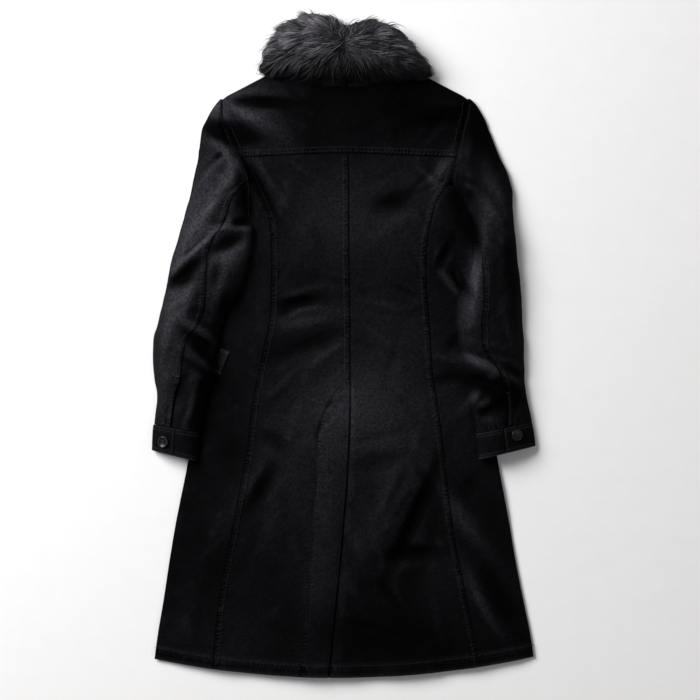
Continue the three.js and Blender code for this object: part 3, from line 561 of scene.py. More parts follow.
def curve(rows, along, column):
    """A smooth curve through one column of a table, with no overshoot between its rows."""
    knots = np.array(sorted((row[along], row[column]) for row in rows), float)
    places, values = knots.T
    widths = np.diff(places)
    steps = np.diff(values) / widths
    product = steps[:-1] * steps[1:]
    same_way = product > 0
    total = np.where(same_way, steps[:-1] + steps[1:], 1)
    inner = np.where(same_way, 2 * product / total, 0)
    slopes = np.concatenate([steps[:1], inner, steps[-1:]])

    def read(at):
        at = np.clip(at, places[0], places[-1])
        i = np.clip(np.searchsorted(places, at) - 1, 0, len(widths) - 1)
        t = (at - places[i]) / widths[i]
        start = (values[i] * (1 + 2 * t) + slopes[i] * widths[i] * t) * (1 - t) ** 2
        end = (values[i + 1] * (3 - 2 * t) + slopes[i + 1] * widths[i] * (t - 1)) * t * t
        return start + end

    return read


body = {name: curve(BODY, "up", name) for name in BODY[0] if name != "up"}
swell = {name: curve(SWELL, "up", name) for name in SWELL[0] if name != "up"}
fur_top = curve(FUR, "x", "top")


def fold_height(folds, x, up):
    """Sum of a table of folds at each place."""
    total = np.zeros(np.broadcast(x, up).shape)
    for fold in folds:
        turn = math.radians(fold["turn"])
        dx = x - fold["x"]
        dy = up - fold["up"]
        along = (dx * math.cos(turn) + dy * math.sin(turn)) / fold["along"]
        across = (dy * math.cos(turn) - dx * math.sin(turn)) / fold["across"]
        total = total + fold["lift"] * np.exp(-along * along - across * across)
    return total


def waves(seed, shortest, longest, count=14):
    """Slow uneven waves over a piece of cloth, the same each time for one seed."""
    rng = np.random.default_rng(seed)
    turns = rng.uniform(0, math.pi, count)
    lengths = rng.uniform(shortest, longest, count)
    phases = rng.uniform(0, 2 * math.pi, count)

    def read(a, b):
        total = np.zeros(np.broadcast(a, b).shape)
        for turn, length, phase in zip(turns, lengths, phases):
            way = a * math.cos(turn) + b * math.sin(turn)
            total = total + np.sin(2 * math.pi * way / length + phase)
        return total / math.sqrt(count)

    return read


crumple = waves(SEED, 24, 70)
drift = waves(SEED + 1, 60, 160)
rumple = waves(SEED + 3, 11, 30, 22)
pucker_drift = waves(SEED + 2, 40, 90, 6)


def shoulder_line(x):
    """The line of the shoulders and the back of the neck, seen from above."""
    out = np.abs(x)
    slope = (out - NECK["x"]) / (SHOULDER["x"] - NECK["x"])
    round_end = 1.6 * ease(SHOULDER["x"] - 9, SHOULDER["x"], out)
    return np.where(out < NECK["x"], NECK["up"], mix(NECK["up"], SHOULDER["up"], slope) - round_end)


def neck_edge(x, depth):
    out = np.abs(x) / NECK["x"]
    return np.where(out < 1, NECK["up"] - depth * (1 - out * out), shoulder_line(x))


def neckline(x):
    return neck_edge(x, NECK["dip"])


def front_neckline(x):
    return neck_edge(x, NECK["scoop"])


def back_height(x, up):
    """Height of the outer side of the laid back, with its crown and main folds."""
    left = swell["left"](up)
    right = swell["right"](up)
    across = np.clip((x - left) / (right - left), 0, 1)
    crown = (1 - np.abs(2 * across - 1) ** 2.6) ** 0.8
    below = np.clip((shoulder_line(x) - up) / 60, 0, 1) ** 0.6
    shoulder = np.maximum(below, 1 - ease(60, 150, np.abs(x)))
    folds = fold_height(BACK_FOLDS, x, up) * np.clip(crown * 1.8, 0, 1) * shoulder
    return EDGE_HEIGHT + np.maximum(0, swell["rise"](up) * crown * shoulder + folds)


def hem_line(x):
    """The hem's lowest edge, an arc across the skirt."""
    out = np.abs(x + 10) / 300
    return 2 + 30 * out * out


def hem_raise(x, up):
    """The turned hem stands a little proud."""
    return HEM_RAISE * (1 - ease(HEM_TURN - 1.5, HEM_TURN + 1.5, up - hem_line(x)))


def yoke_seam(x):
    return YOKE_UP + 3 * np.exp(-((x / 80) ** 2)) - 3 * (x / 180) ** 2


def row_height(level, x):
    """Rows bend with the yoke seam above and with the hem below."""
    high = (yoke_seam(x) - YOKE_UP) * ease(700, YOKE_UP, level)
    return level + high + hem_line(x) * (1 - ease(0, 160, level))


def underlap_left(up):
    return body["centre"](up) - UNDERLAP * ease(VENT_TOP, VENT_TOP - 96, up)


def vent_press(x, up):
    """The right half lies lower where the left one laps over it."""
    past = x - body["centre"](up)
    below = ease(VENT_TOP + 18, VENT_TOP - 2, up)
    return -VENT_DROP * below * (1 - ease(LAP_START, LAP_START + 4, past))


def past_vent_row(x, up):
    """How far a place lies from the row of stitches beside the vent."""
    row = VENT_ROW[::-1]
    return x - np.interp(up, [p["up"] for p in row], [p["x"] for p in row])


def seam_shape(distance, along, phase):
    """A felled seam: its welt, the groove beside it and the pucker that the thread pulls in.

    Distance runs from the seam onto the side that carries the welt.
    """
    wide = WELT["wide"]
    on_welt = ease(-0.4, 0.8, distance) * (1 - ease(wide, wide + 2, distance))
    groove = np.exp(-((distance / 1.5) ** 2)) + 0.35 * np.exp(-(((distance - wide - 2.4) / 1.6) ** 2))
    drawn = np.sin(along / 2.2 + phase + 1.6 * pucker_drift(along, phase * 30))
    reach = np.exp(-(((distance - 4) / 11) ** 2))
    return WELT["rise"] * on_welt - 0.5 * groove + 0.22 * drawn * reach


def back_relief(x, up):
    """Seams, turned hem and fine creases of the back, over its main form."""
    below_yoke = 1 - ease(YOKE_UP - 4, YOKE_UP + 2, up - (yoke_seam(x) - YOKE_UP))
    total = 1.5 * fold_height(FINE_CREASES, x, up) + 0.35 * crumple(x, up) + 1.2 * drift(x, up)
    total = total + 0.13 * rumple(x, up)
    total = total + seam_shape(up - yoke_seam(x), x, 0.4)
    above_vent = ease(VENT_TOP - 6, VENT_TOP + 12, up)
    total = total + seam_shape(body["centre"](up) - x, up, 1.1) * below_yoke * above_vent
    total = total + seam_shape(x - body["left_princess"](up), up, 2.3)
    total = total + seam_shape(body["right_princess"](up) - x, up, 3.7)
    hem = up - hem_line(x)
    roping = np.sin(x / 2.4 + hem / 9 + 1.4 * pucker_drift(x, 90))
    total = total + 0.4 * roping * np.exp(-(((hem - 12) / 13) ** 2))
    total = total - 0.5 * np.exp(-(((hem - HEM_GROOVE) / 1.6) ** 2))
    edge = np.minimum(x - body["left"](up), body["right"](up) - x)
    return total * ease(-2, 14, edge + 6) * ease(0, 26, shoulder_line(x) - up + 10)


def vent_relief(x, up):
    """The underlap shows through the left half of the back, along its edge."""
    below = ease(VENT_TOP, VENT_TOP - 60, up)
    step = x - underlap_left(up)
    groove = np.exp(-((past_vent_row(x, up) / 2.2) ** 2))
    return below * (1.6 * ease(-4, 3, step) - 1.5 * groove)


def seam_pull_and_painted_shade(*lines):
    """What the seams do to the cloth beside them, from (distance, place along it, share) of each.

    It holds the place along the nearest seam, how hard its thread pulls, and how dark its groove is painted,
    as painted shade.
    """
    along, pull, kept = (np.zeros(np.broadcast(*lines[0]).shape) for _ in range(3))
    for distance, run, share in lines:
        near = share * np.exp(-(((distance - 4.5) / 5) ** 2))
        along = np.where(near > pull, run, along)
        pull = np.maximum(pull, near)
        # Painted shade: a dark line along each seam's groove
        kept = np.maximum(kept, 0.7 * share * np.exp(-((distance / 1.4) ** 2)))
    return stacked(along * MM, pull, kept)


def unit(vectors, least=1e-9):
    """The same directions with a length of one."""
    return vectors / np.maximum(np.linalg.norm(vectors, axis=-1, keepdims=True), least)


class Surface:
    """A sheet of cloth as a function of two places, with its outward normal."""

    def __init__(self, place, sign=1, steps=(1.2, 1.2)):
        self.place = place
        self.sign = sign
        self.steps = steps

    def normal(self, a, b):
        da, db = self.steps
        along_a = self.place(a + da, b) - self.place(a - da, b)
        along_b = self.place(a, b + db) - self.place(a, b - db)
        return unit(np.cross(along_a, along_b) * self.sign)


def stacked(*columns):
    return np.stack(np.broadcast_arrays(*[np.asarray(c, float) for c in columns]), axis=-1)


def body_surface(extra=None):
    """The outer side of the back; extra is one more height on it."""

    def place(x, up):
        height = back_height(x, up) + hem_raise(x, up) + back_relief(x, up)
        return stacked(x, up, height + (extra(x, up) if extra else 0))

    return Surface(place)


def band(wide, step=GRID):
    """Places across a piece as (share, offset): close and even at both edges, and looser between."""
    near = np.array([0, 0.7, 1.5, 2.6, 4, 5.5, 7, 8.2, 9.2, 10.2, 11.4, 13, 15.5])
    count = max(3, round((wide - 2 * near[-1]) / step))
    shares = np.linspace(0, 1, count + 1)[1:-1]
    share = np.concatenate([near * 0, shares, near * 0 + 1])
    offset = np.concatenate([near, mix(near[-1], -near[-1], shares), -near[::-1]])
    return share, offset


def mesh_object(name, points, faces, material=None, smooth=True):
    """A mesh object from points in metres."""
    mesh = bpy.data.meshes.new(name)
    mesh.from_pydata(np.asarray(points).tolist(), [], faces)
    if smooth:
        mesh.polygons.foreach_set("use_smooth", np.ones(len(mesh.polygons), bool))
    if material:
        mesh.materials.append(material)
    obj = bpy.data.objects.new(name, mesh)
    bpy.context.scene.collection.objects.link(obj)
    return obj


def coat_mesh(name, points, faces, material):
    """A smooth mesh object of the coat, from points in the part's millimetres, all above the floor."""
    points = np.array(points, float)
    points[:, 2] = np.maximum(points[:, 2], 0)
    return mesh_object(name, (points + PART_ZERO) * MM, faces, material)


def apply_modifiers(obj):
    """Puts what the modifiers make of an object into its mesh."""
    evaluated = obj.evaluated_get(bpy.context.evaluated_depsgraph_get())
    mesh = bpy.data.meshes.new_from_object(evaluated)
    obj.modifiers.clear()
    obj.data = mesh


def vertex_vectors(mesh, field):
    """The places or the normals of a mesh's vertices, a row for each."""
    values = np.zeros(len(mesh.vertices) * 3)
    mesh.vertices.foreach_get(field, values)
    return values.reshape(-1, 3)


def point_values(obj, name, kind, values):
    """Keeps a value or a vector for each point, which the materials read."""
    attribute = obj.data.attributes.new(name, kind, "POINT")
    field = "value" if kind == "FLOAT" else "vector"
    attribute.data.foreach_set(field, np.asarray(values, np.float32).ravel())


def grid_faces(rows, columns, first=0, flip=False):
    corner = first + np.arange(rows - 1)[:, None] * columns + np.arange(columns - 1)[None, :]
    faces = np.stack([corner, corner + 1, corner + columns + 1, corner + columns], axis=-1).reshape(-1, 4)
    return faces[:, ::-1] if flip else faces


def shell(name, outer, inner, wear_and_painted_light, seam, material):
    """A thin sheet with two sides and a rim, from two matching grids."""
    rows, columns = outer.shape[:2]
    count = rows * columns
    middle = (rows // 2, columns // 2)
    toward = outer[middle] - inner[middle]
    beside = outer[middle[0], middle[1] + 1] - outer[middle]
    beyond = outer[middle[0] + 1, middle[1]] - outer[middle]
    flip = float(np.cross(beside, beyond) @ toward) < 0
    ring = np.concatenate(
        [
            np.arange(columns),
            np.arange(1, rows) * columns + columns - 1,
            (rows - 1) * columns + np.arange(columns - 2, -1, -1),
            np.arange(rows - 2, 0, -1) * columns,
        ]
    )
    onward = np.roll(ring, -1)
    rim = np.stack([ring, ring + count, onward + count, onward], axis=-1)
    if flip:
        rim = rim[:, ::-1]
    sides = [grid_faces(rows, columns, 0, flip), grid_faces(rows, columns, count, not flip)]
    faces = np.concatenate([*sides, rim])
    points = np.concatenate([outer.reshape(-1, 3), inner.reshape(-1, 3)])
    obj = coat_mesh(name, points, faces.tolist(), material)
    obj.data.set_sharp_from_angle(angle=math.radians(52))
    across = np.linalg.norm(np.diff(outer, axis=1), axis=2).cumsum(axis=1)
    across = np.concatenate([np.zeros((rows, 1)), across], axis=1)
    along = np.linalg.norm(np.diff(outer, axis=0), axis=2).cumsum(axis=0)
    along = np.concatenate([np.zeros((1, columns)), along], axis=0)
    cut = stacked(across - across[:, columns // 2][:, None], along, 0).reshape(-1, 3) * MM
    point_values(obj, "cut", "FLOAT_VECTOR", np.tile(cut.ravel(), 2))
    point_values(obj, "wear_and_painted_light", "FLOAT", np.tile(wear_and_painted_light.ravel(), 2))
    point_values(obj, "seam", "FLOAT_VECTOR", np.tile(seam.ravel(), 2))
    size = (float(across[:, -1].max()) * MM, float(along[-1].max()) * MM)
    a, b, c, d = outer[:-1, :-1], outer[:-1, 1:], outer[1:, 1:], outer[1:, :-1]
    halves = [np.linalg.norm(np.cross(b - a, c - a), axis=2), np.linalg.norm(np.cross(c - a, d - a), axis=2)]
    area = (halves[0] + halves[1]).sum() / 2
    obj["flat_area"] = float(min(area * MM * MM, size[0] * size[1]))
    obj["flat_size"] = size
    return obj


# Threads: each row of stitches belongs to one piece of cloth

stitch_rows = {}


def stitches(piece, path, normals, pitch, long, thick, crosswise=False):
    """Adds stitches along a path of points; crosswise ones stand side by side, as in a bar tack."""
    gaps = np.linalg.norm(np.diff(path, axis=0), axis=1)
    travelled = np.concatenate([[0], gaps.cumsum()])
    count = max(1, int(travelled[-1] / pitch))
    places = (np.arange(count) + 0.5) * travelled[-1] / count

    def read(values):
        return np.stack([np.interp(places, travelled, values[:, i]) for i in range(3)], axis=1)

    centre = read(path)
    ahead = unit(read(np.gradient(path, axis=0)))
    normal = unit(read(normals))
    beside = unit(np.cross(normal, ahead))
    run, wide = (beside, ahead) if crosswise else (ahead, beside)
    half = thick / 2
    grain = [(-0.5, 0, -0.3), (-0.32, -half, 0), (-0.32, 0, half), (-0.32, half, 0), (-0.32, 0, -half)]
    grain += [(0.32, -half, 0), (0.32, 0, half), (0.32, half, 0), (0.32, 0, -half), (0.5, 0, -0.3)]
    points = [centre + run * (a * long) + wide * b + normal * (c + 0.12) for a, b, c in grain]
    stitch_rows.setdefault(piece, []).append(np.stack(points, axis=1))


STITCH_FACES = [(0, 2, 1), (0, 3, 2), (0, 4, 3), (0, 1, 4), (9, 5, 6), (9, 6, 7), (9, 7, 8), (9, 8, 5)]
STITCH_FACES += [(1, 2, 6, 5), (2, 3, 7, 6), (3, 4, 8, 7), (4, 1, 5, 8)]


def row_on(piece, surface, a, b, **kind):
    """Stitches on a surface along two matching lists of places."""
    a, b = np.asarray(a, float), np.asarray(b, float)
    stitches(piece, surface.place(a, b), surface.normal(a, b), **(kind or TOPSTITCH))


def sew(piece, material):
    """Joins the stitches of one piece of cloth to one mesh."""
    points = np.concatenate(stitch_rows[piece])
    faces = []
    for i in range(len(points)):
        faces += [tuple(10 * i + corner for corner in face) for face in STITCH_FACES]
    obj = coat_mesh(f"{piece}_stitching", points.reshape(-1, 3), faces, material)
    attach(obj, "root")
    return obj


# Materials


def node_group(name, inputs, outputs):
    """An empty shader group; returns it with its input and output nodes."""
    tree = bpy.data.node_groups.new(name, "ShaderNodeTree")
    for label, kind, value in inputs:
        socket = tree.interface.new_socket(label, in_out="INPUT", socket_type=f"NodeSocket{kind}")
        if value is not None:
            socket.default_value = value
    for label, kind in outputs:
        tree.interface.new_socket(label, in_out="OUTPUT", socket_type=f"NodeSocket{kind}")
    return tree, tree.nodes.new("NodeGroupInput"), tree.nodes.new("NodeGroupOutput")


def add(tree, kind, values=None, **settings):
    """A node with its settings and input values; a value that is a socket is linked."""
    node = tree.nodes.new(f"ShaderNode{kind}")
    for name, value in settings.items():
        setattr(node, name, value)
    for key, value in (values or {}).items():
        socket = node.inputs[key]
        if isinstance(value, bpy.types.NodeSocket):
            tree.links.new(value, socket)
        else:
            socket.default_value = value
    return node


def worked(tree, operation, *values, clamp=False):
    """The result of one step of arithmetic."""
    return add(tree, "Math", dict(enumerate(values)), operation=operation, use_clamp=clamp).outputs[0]


def ranged(tree, value, **ends):
    """A value taken from one range to another, such as from_min=0.3 and to_max=2.0."""
    named = {key.replace("_", " ").title(): end for key, end in ends.items()}
    return add(tree, "MapRange", {"Value": value, **named}).outputs["Result"]


def noise(tree, scale, detail, place=None, **more):
    """Smooth noise over the object, or over the place that is given."""
    place = place or add(tree, "TexCoord").outputs["Object"]
    values = {"Vector": place, "Scale": scale, "Detail": detail}
    values.update({key.title(): value for key, value in more.items()})
    return add(tree, "TexNoise", values).outputs["Fac"]


def blend(tree, factor, a, b, **settings):
    """A colour between two, each of them a colour or a socket."""
    values = {"Factor": factor, "A": a, "B": b}
    return add(tree, "Mix", values, data_type="RGBA", **settings).outputs["Result"]


def bump(tree, height, strength, distance, **normal):
    values = {"Height": height, "Strength": strength, "Distance": distance}
    values.update({key.title(): value for key, value in normal.items()})
    return add(tree, "Bump", values).outputs["Normal"]


def weave_group():
    """Twill: steep diagonal ribs of the warp, a little uneven, in cloth that is slightly crushed."""
    tree, given, out = node_group(
        "twill weave",
        [("Cut", "Vector", None), ("Ribs per metre", "Float", 800.0), ("Slub", "Float", 0.5)],
        [("Height", "Float"), ("Rib", "Float")],
    )
    cut = given.outputs["Cut"]
    spread = add(tree, "VectorMath", {0: cut, "Scale": given.outputs["Ribs per metre"]}, operation="SCALE")
    slub = noise(tree, 260.0, 3.0, cut, roughness=0.7)
    warp = worked(tree, "MULTIPLY", slub, given.outputs["Slub"])
    apart = add(tree, "SeparateXYZ", {0: spread.outputs["Vector"]})
    steep = worked(tree, "MULTIPLY_ADD", apart.outputs["Y"], 0.55, apart.outputs["X"])
    shifted = worked(tree, "MULTIPLY_ADD", warp, 1.6, steep)
    wave = worked(tree, "SINE", worked(tree, "MULTIPLY", shifted, 2 * math.pi))
    rib = ranged(tree, wave, from_min=-1.0, from_max=1.0)
    crush = noise(tree, 130.0, 4.0, cut, roughness=0.65)
    tree.links.new(worked(tree, "MULTIPLY_ADD", crush, 4.5, rib), out.inputs["Height"])
    tree.links.new(rib, out.inputs["Rib"])
    return tree


def pucker_group():
    """The short puckers that a seam's thread draws into the cloth beside them; it also passes on the painted
    shade of grooves, creases and hollows.
    """
    tree, given, out = node_group(
        "seam pucker",
        [("Seam", "Vector", None), ("Per metre", "Float", 156.0)],
        [("Height", "Float"), ("Painted shade", "Float")],
    )
    parts = add(tree, "SeparateXYZ", {0: given.outputs["Seam"]})
    uneven = noise(tree, 45.0, 2.0)
    turns = worked(tree, "MULTIPLY", parts.outputs["X"], given.outputs["Per metre"])
    shifted = worked(tree, "MULTIPLY_ADD", uneven, 4.5, turns)
    wave = worked(tree, "SINE", worked(tree, "MULTIPLY", shifted, 2 * math.pi))
    drawn = worked(tree, "MULTIPLY", wave, parts.outputs["Y"])
    patchy = ranged(tree, uneven, from_min=0.42, from_max=0.6, to_min=0.05)
    tree.links.new(worked(tree, "MULTIPLY", drawn, patchy), out.inputs["Height"])
    tree.links.new(parts.outputs["Z"], out.inputs["Painted shade"])
    return tree


def fade_and_painted_light_group():
    """Where washing and rubbing have lifted the dye, and where light is painted on lit slopes and ridges:
    worn edges and a slow cloudiness. Painted shade keeps the colour dark in grooves and hollows.
    """
    tree, given, out = node_group(
        "wash fade and painted light",
        [("Wear and painted light", "Float", 0.0), ("Cloud", "Float", 0.3), ("Grain", "Float", 0.7), ("Painted shade", "Float", 0.0)],
        [("Mask", "Float")],
    )
    cloud = ranged(tree, noise(tree, 7.0, 5.0, roughness=0.62), from_min=0.35, from_max=0.75)
    hazy = worked(tree, "MULTIPLY", cloud, given.outputs["Cloud"])
    speck = ranged(tree, noise(tree, 240.0, 3.0, roughness=0.6), from_min=0.35, from_max=0.7)
    whole = worked(tree, "SUBTRACT", 1.0, worked(tree, "MULTIPLY", speck, given.outputs["Grain"]))
    both = worked(tree, "ADD", given.outputs["Wear and painted light"], hazy, clamp=True)
    rubbed = worked(tree, "MULTIPLY", both, whole)
    bare = worked(tree, "SUBTRACT", 1.0, given.outputs["Painted shade"], clamp=True)
    tree.links.new(worked(tree, "MULTIPLY", rubbed, bare), out.inputs["Mask"])
    return tree


def new_material(name):
    material = bpy.data.materials.new(name)
    material.use_nodes = True
    tree = material.node_tree
    return material, tree, tree.nodes["Principled BSDF"]


def feed(tree, shader, links):
    for socket, source in links.items():
        tree.links.new(source, shader.inputs[socket])


def denim(name, dyed, faded_and_painted_light):
    """Black twill, with its ribs, its cloudy dye and pale worn edges; painted light on lit slopes and ridges,
    and painted shade in grooves, creases and hollows.
    """
    material, tree, shader = new_material(name)
    cut, wear_and_painted_light, seam = [add(tree, "Attribute", attribute_name=kept) for kept in ("cut", "wear_and_painted_light", "seam")]
    weave = add(tree, "Group", {"Cut": cut.outputs["Vector"]}, node_tree=WEAVE)
    pucker = add(tree, "Group", {"Seam": seam.outputs["Vector"]}, node_tree=PUCKER)
    # The seam attribute's third part is painted shade for grooves, creases and hollows; the wear attribute
    # carries wear together with painted light
    height, kept = pucker.outputs["Height"], pucker.outputs["Painted shade"]
    worn = worked(tree, "MULTIPLY_ADD", height, 0.1, wear_and_painted_light.outputs["Fac"])
    fade_and_painted_light = add(tree, "Group", {"Wear and painted light": worn, "Cloud": 0.11, "Painted shade": kept}, node_tree=FADE_AND_PAINTED_LIGHT)
    mask = fade_and_painted_light.outputs["Mask"]
    valley = worked(tree, "SUBTRACT", 1.0, weave.outputs["Rib"])
    ribbed = blend(tree, valley, blend(tree, mask, dyed, faded_and_painted_light), (0.6, 0.6, 0.62, 1), blend_type="MULTIPLY")
    # Painted shade: the colour is darkened to an eighth where grooves, creases and hollows are marked
    deep = blend(tree, kept, ribbed, (0.12, 0.12, 0.13, 1), blend_type="MULTIPLY")
    woven = bump(tree, weave.outputs["Height"], 0.6, 0.0005)
    drawn = bump(tree, height, 0.9, 0.0014, normal=woven)
    rough = ranged(tree, mask, to_min=0.75, to_max=0.95)
    feed(tree, shader, {"Base Color": deep, "Roughness": rough, "Normal": drawn})
    shader.inputs["Specular IOR Level"].default_value = 0.025
    return material


def thread():
    """Spun black thread, a little lighter and glossier than the cloth."""
    material, tree, shader = new_material("black thread")
    mask = add(tree, "Group", {"Wear and painted light": 0.5}, node_tree=FADE_AND_PAINTED_LIGHT).outputs["Mask"]
    colour = blend(tree, mask, (0.003, 0.003, 0.004, 1), (0.013, 0.013, 0.016, 1))
    spun = bump(tree, noise(tree, 1500.0, 1.0), 0.4, 0.0002)
    rough = ranged(tree, mask, to_min=0.5, to_max=0.75)
    feed(tree, shader, {"Base Color": colour, "Roughness": rough, "Normal": spun})
    return material


def fur(name, root, tip):
    """Hair, dark at the root and paler to the tip, each with a tone of its own; the tone also carries painted
    shade low in the fur and along its lower edge.
    """
    material, tree, shader = new_material(name)
    tone = add(tree, "Attribute", attribute_name="tone").outputs["Fac"]
    shade = ranged(tree, noise(tree, 38.0, 3.0), from_min=0.3, from_max=0.7, to_min=0.55, to_max=1.1)
    lit = worked(tree, "MULTIPLY", tone, shade, clamp=True)
    rough = ranged(tree, tone, to_min=0.62, to_max=0.42)
    feed(tree, shader, {"Base Color": blend(tree, lit, root, tip), "Roughness": rough})
    shader.inputs["Specular IOR Level"].default_value = 0.25
    return material


def horn():
    """Polished black horn with a faint cloudy figure."""
    material, tree, shader = new_material("black horn")
    figure = noise(tree, 120.0, 4.0, distortion=1.5)
    colour = blend(tree, figure, (0.003, 0.003, 0.0035, 1), (0.005, 0.005, 0.006, 1))
    rough = ranged(tree, figure, to_min=0.2, to_max=0.3)
    feed(tree, shader, {"Base Color": colour, "Roughness": rough})
    shader.inputs["Specular IOR Level"].default_value = 0.3
    return material


WEAVE = weave_group()
PUCKER = pucker_group()
FADE_AND_PAINTED_LIGHT = fade_and_painted_light_group()
# The paler colour stands for faded dye and for painted light alike
DENIM = denim("black denim", (0.0012, 0.0012, 0.0016, 1), (0.060, 0.060, 0.070, 1))
THREAD = thread()
FUR_HAIR = fur("grey fur", (0.002, 0.002, 0.003, 1), (0.262, 0.252, 0.285, 1))
UNDERFUR = fur("under fur", (0.006, 0.006, 0.008, 1), (0.030, 0.028, 0.034, 1))
HORN = horn()


# Cloth pieces

# Pieces that get the listed patches of painted shade
WITH_PAINTED_SHADES = ("yoke", "back", "side_back", "upper_sleeve", "under_sleeve")


def cloth(node, outer, inner, wear_and_painted_light, seam=None):
    """One cut piece of denim in place of its solid, with its stitching."""
    seam = np.zeros_like(outer) if seam is None else seam
    # Painted shade: the listed patches and the low places of the cloth are marked dark in the seam
    # attribute's third part
    deep = fold_height(PAINTED_SHADES, outer[..., 0], outer[..., 1]) if node.startswith(WITH_PAINTED_SHADES) else 0
    seam[..., 2] = np.clip(np.maximum(seam[..., 2] + painted_hollow_shade(outer), deep), 0, 1)
    obj = shell(f"{node}_cloth", outer, inner, np.clip(wear_and_painted_light, 0, 1), seam, DENIM)
    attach(obj, "root")
    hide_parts(node)
    sewn = [sew(node, THREAD)] if node in stitch_rows else []


def standing(points):
    """How far each point of a grid stands out from its neighbours."""
    z = points[..., 2]
    near = np.pad(z, 3, mode="edge")
    return z - (near[:-6, 3:-3] + near[6:, 3:-3] + near[3:-3, :-6] + near[3:-3, 6:]) / 4


def ridge_wear_and_highlight(points):
    """High places rub first, and are painted lighter as a painted highlight on the ridges of the folds."""
    return np.clip(standing(points) * 0.16 - 0.03, 0, 0.3)


def painted_hollow_shade(points):
    """Painted shade: low places of the cloth are painted darker."""
    return np.clip(standing(points) * -0.3 - 0.06, 0, 0.8)


def seam_wear(distance):
    """Pale along a seam's fold and along the far edge of its welt."""
    edge = np.exp(-(((distance - 0.8) / 1.3) ** 2))
    welt = np.exp(-(((distance - WELT["wide"]) / 1.8) ** 2)) * 0.55
    return 0.03 * edge + 0.05 * welt


def back_wear_and_painted_light(x, up, points):
    seams = seam_wear(up - yoke_seam(x)) + seam_wear(body["centre"](up) - x) * (up < YOKE_UP)
    seams = seams + seam_wear(x - body["left_princess"](up)) + seam_wear(body["right_princess"](up) - x)
    hem = up - hem_line(x)
    hemmed = 0.3 * np.exp(-(((hem - 1) / 2) ** 2)) + 0.1 * np.exp(-(((hem - HEM_TURN) / 2.5) ** 2))
    # The patch table adds faded dye together with painted light on lit slopes and ridges
    return seams + hemmed + ridge_wear_and_highlight(points) + fold_height(FADES_AND_PAINTED_LIGHT, x, up)


def back_seams(x, up):
    """The pull of each seam that crosses the back, and of the hem, with the painted shade of each groove."""
    hem = up - hem_line(x)
    centre_share = (up < YOKE_UP) * ease(VENT_TOP - 6, VENT_TOP + 12, up)
    return seam_pull_and_painted_shade(
        (up - yoke_seam(x), x, 1.0),
        (body["centre"](up) - x, up, centre_share),
        (x - body["left_princess"](up), up, ease(775, 735, up)),
        (body["right_princess"](up) - x, up, 1.0),
        (hem - 9, x, 0.7),
        (past_vent_row(x, up), up, 0.7 * ease(VENT_TOP + 8, VENT_TOP - 8, up)),
    )


# The back


def yoke():
    surface = body_surface()
    share, offset = band(2 * SHOULDER["x"])
    row_share, row_offset = band(NECK["up"] - YOKE_UP)
    place = mix(-SHOULDER["x"], SHOULDER["x"], share) + offset
    foot = mix(body["left"](YOKE_UP), body["right"](YOKE_UP), share) + offset
    low = yoke_seam(foot) + HALF_GAP
    high = neckline(place) - SEAM_GAP
    shrink = ((high - low) / (NECK["up"] - YOKE_UP))[None, :]
    near = row_offset[:, None] * np.where(row_share[:, None] < 0.5, 1, shrink)
    up = mix(low[None, :], high[None, :], row_share[:, None]) + near
    up = np.clip(up, low[None, :], high[None, :])
    x = mix(body["left"](up) + HALF_GAP, body["right"](up) - HALF_GAP, share[None, :]) + offset[None, :]
    outer = surface.place(x, up)
    inner = outer - surface.normal(x, up) * CLOTH
    for distance in YOKE_ROWS:
        across = np.linspace(body["left"](YOKE_UP) + 3, body["right"](YOKE_UP) - 3, 200)
        row_on("yoke", surface, across, yoke_seam(across) + distance)
    for side, edge in ((1, body["left"]), (-1, body["right"])):
        heights = np.linspace(YOKE_UP + 12, 926, 60)
        row_on("yoke", surface, edge(heights) + side * ARMHOLE_ROW, heights)
    cloth("yoke", outer, inner, back_wear_and_painted_light(x, up, outer), back_seams(x, up))


def fine_levels(top):
    """Heights of rows from the top of a panel to the hem, closer where the hem turns."""
    near_top = top - np.array([0, 0.8, 1.8, 3, 4.5, 6.5, 9])
    middle = np.arange(top - 12.5, HEM_TURN + 5, -GRID)
    hem = np.array([24, 22.5, 21.3, 20.2, 19, 17.6, 15.5, 12.5, 9.5, 6.5, 4, 2.2, 1, 0])
    return np.concatenate([near_top, middle, hem])


def back_panel(node, left, right, wide, top, extra, rows, rests_on):
    surface = body_surface(extra)
    share, offset = band(wide)
    level = fine_levels(top)[:, None]
    up = level + 0 * share[None, :]
    for _ in range(6):
        x = mix(left(up), right(up), share[None, :]) + offset[None, :]
        up = row_height(level, x)
    outer = surface.place(x, up)
    inner = outer - surface.normal(x, up) * CLOTH
    for across, heights, kind in rows:
        row_on(node, surface, across, heights, **kind)
    middle = (left(0) + right(0)) / 2
    half = (right(0) - left(0)) / 2 - 2
    hem = np.linspace(middle - half, middle + half, 120)
    row_on(node, surface, hem, hem_line(hem) + HEM_ROW)
    cloth(node, outer, inner, back_wear_and_painted_light(x, up, outer), back_seams(x, up))


def seam_row(edge, distance, high, low, count=260):
    heights = np.linspace(high, low, count)
    return edge(heights) + distance, heights, {}


def smooth_path(rows, count=160):
    """A path through a short table of places, evenly read."""
    up = np.linspace(rows[0]["up"], rows[-1]["up"], count)
    return curve(rows, "up", "x")(up), up


def moved(edge, way):
    """A panel's edge, half a gap to one side of its seam."""

    def read(up):
        return edge(up) + way * HALF_GAP

    return read


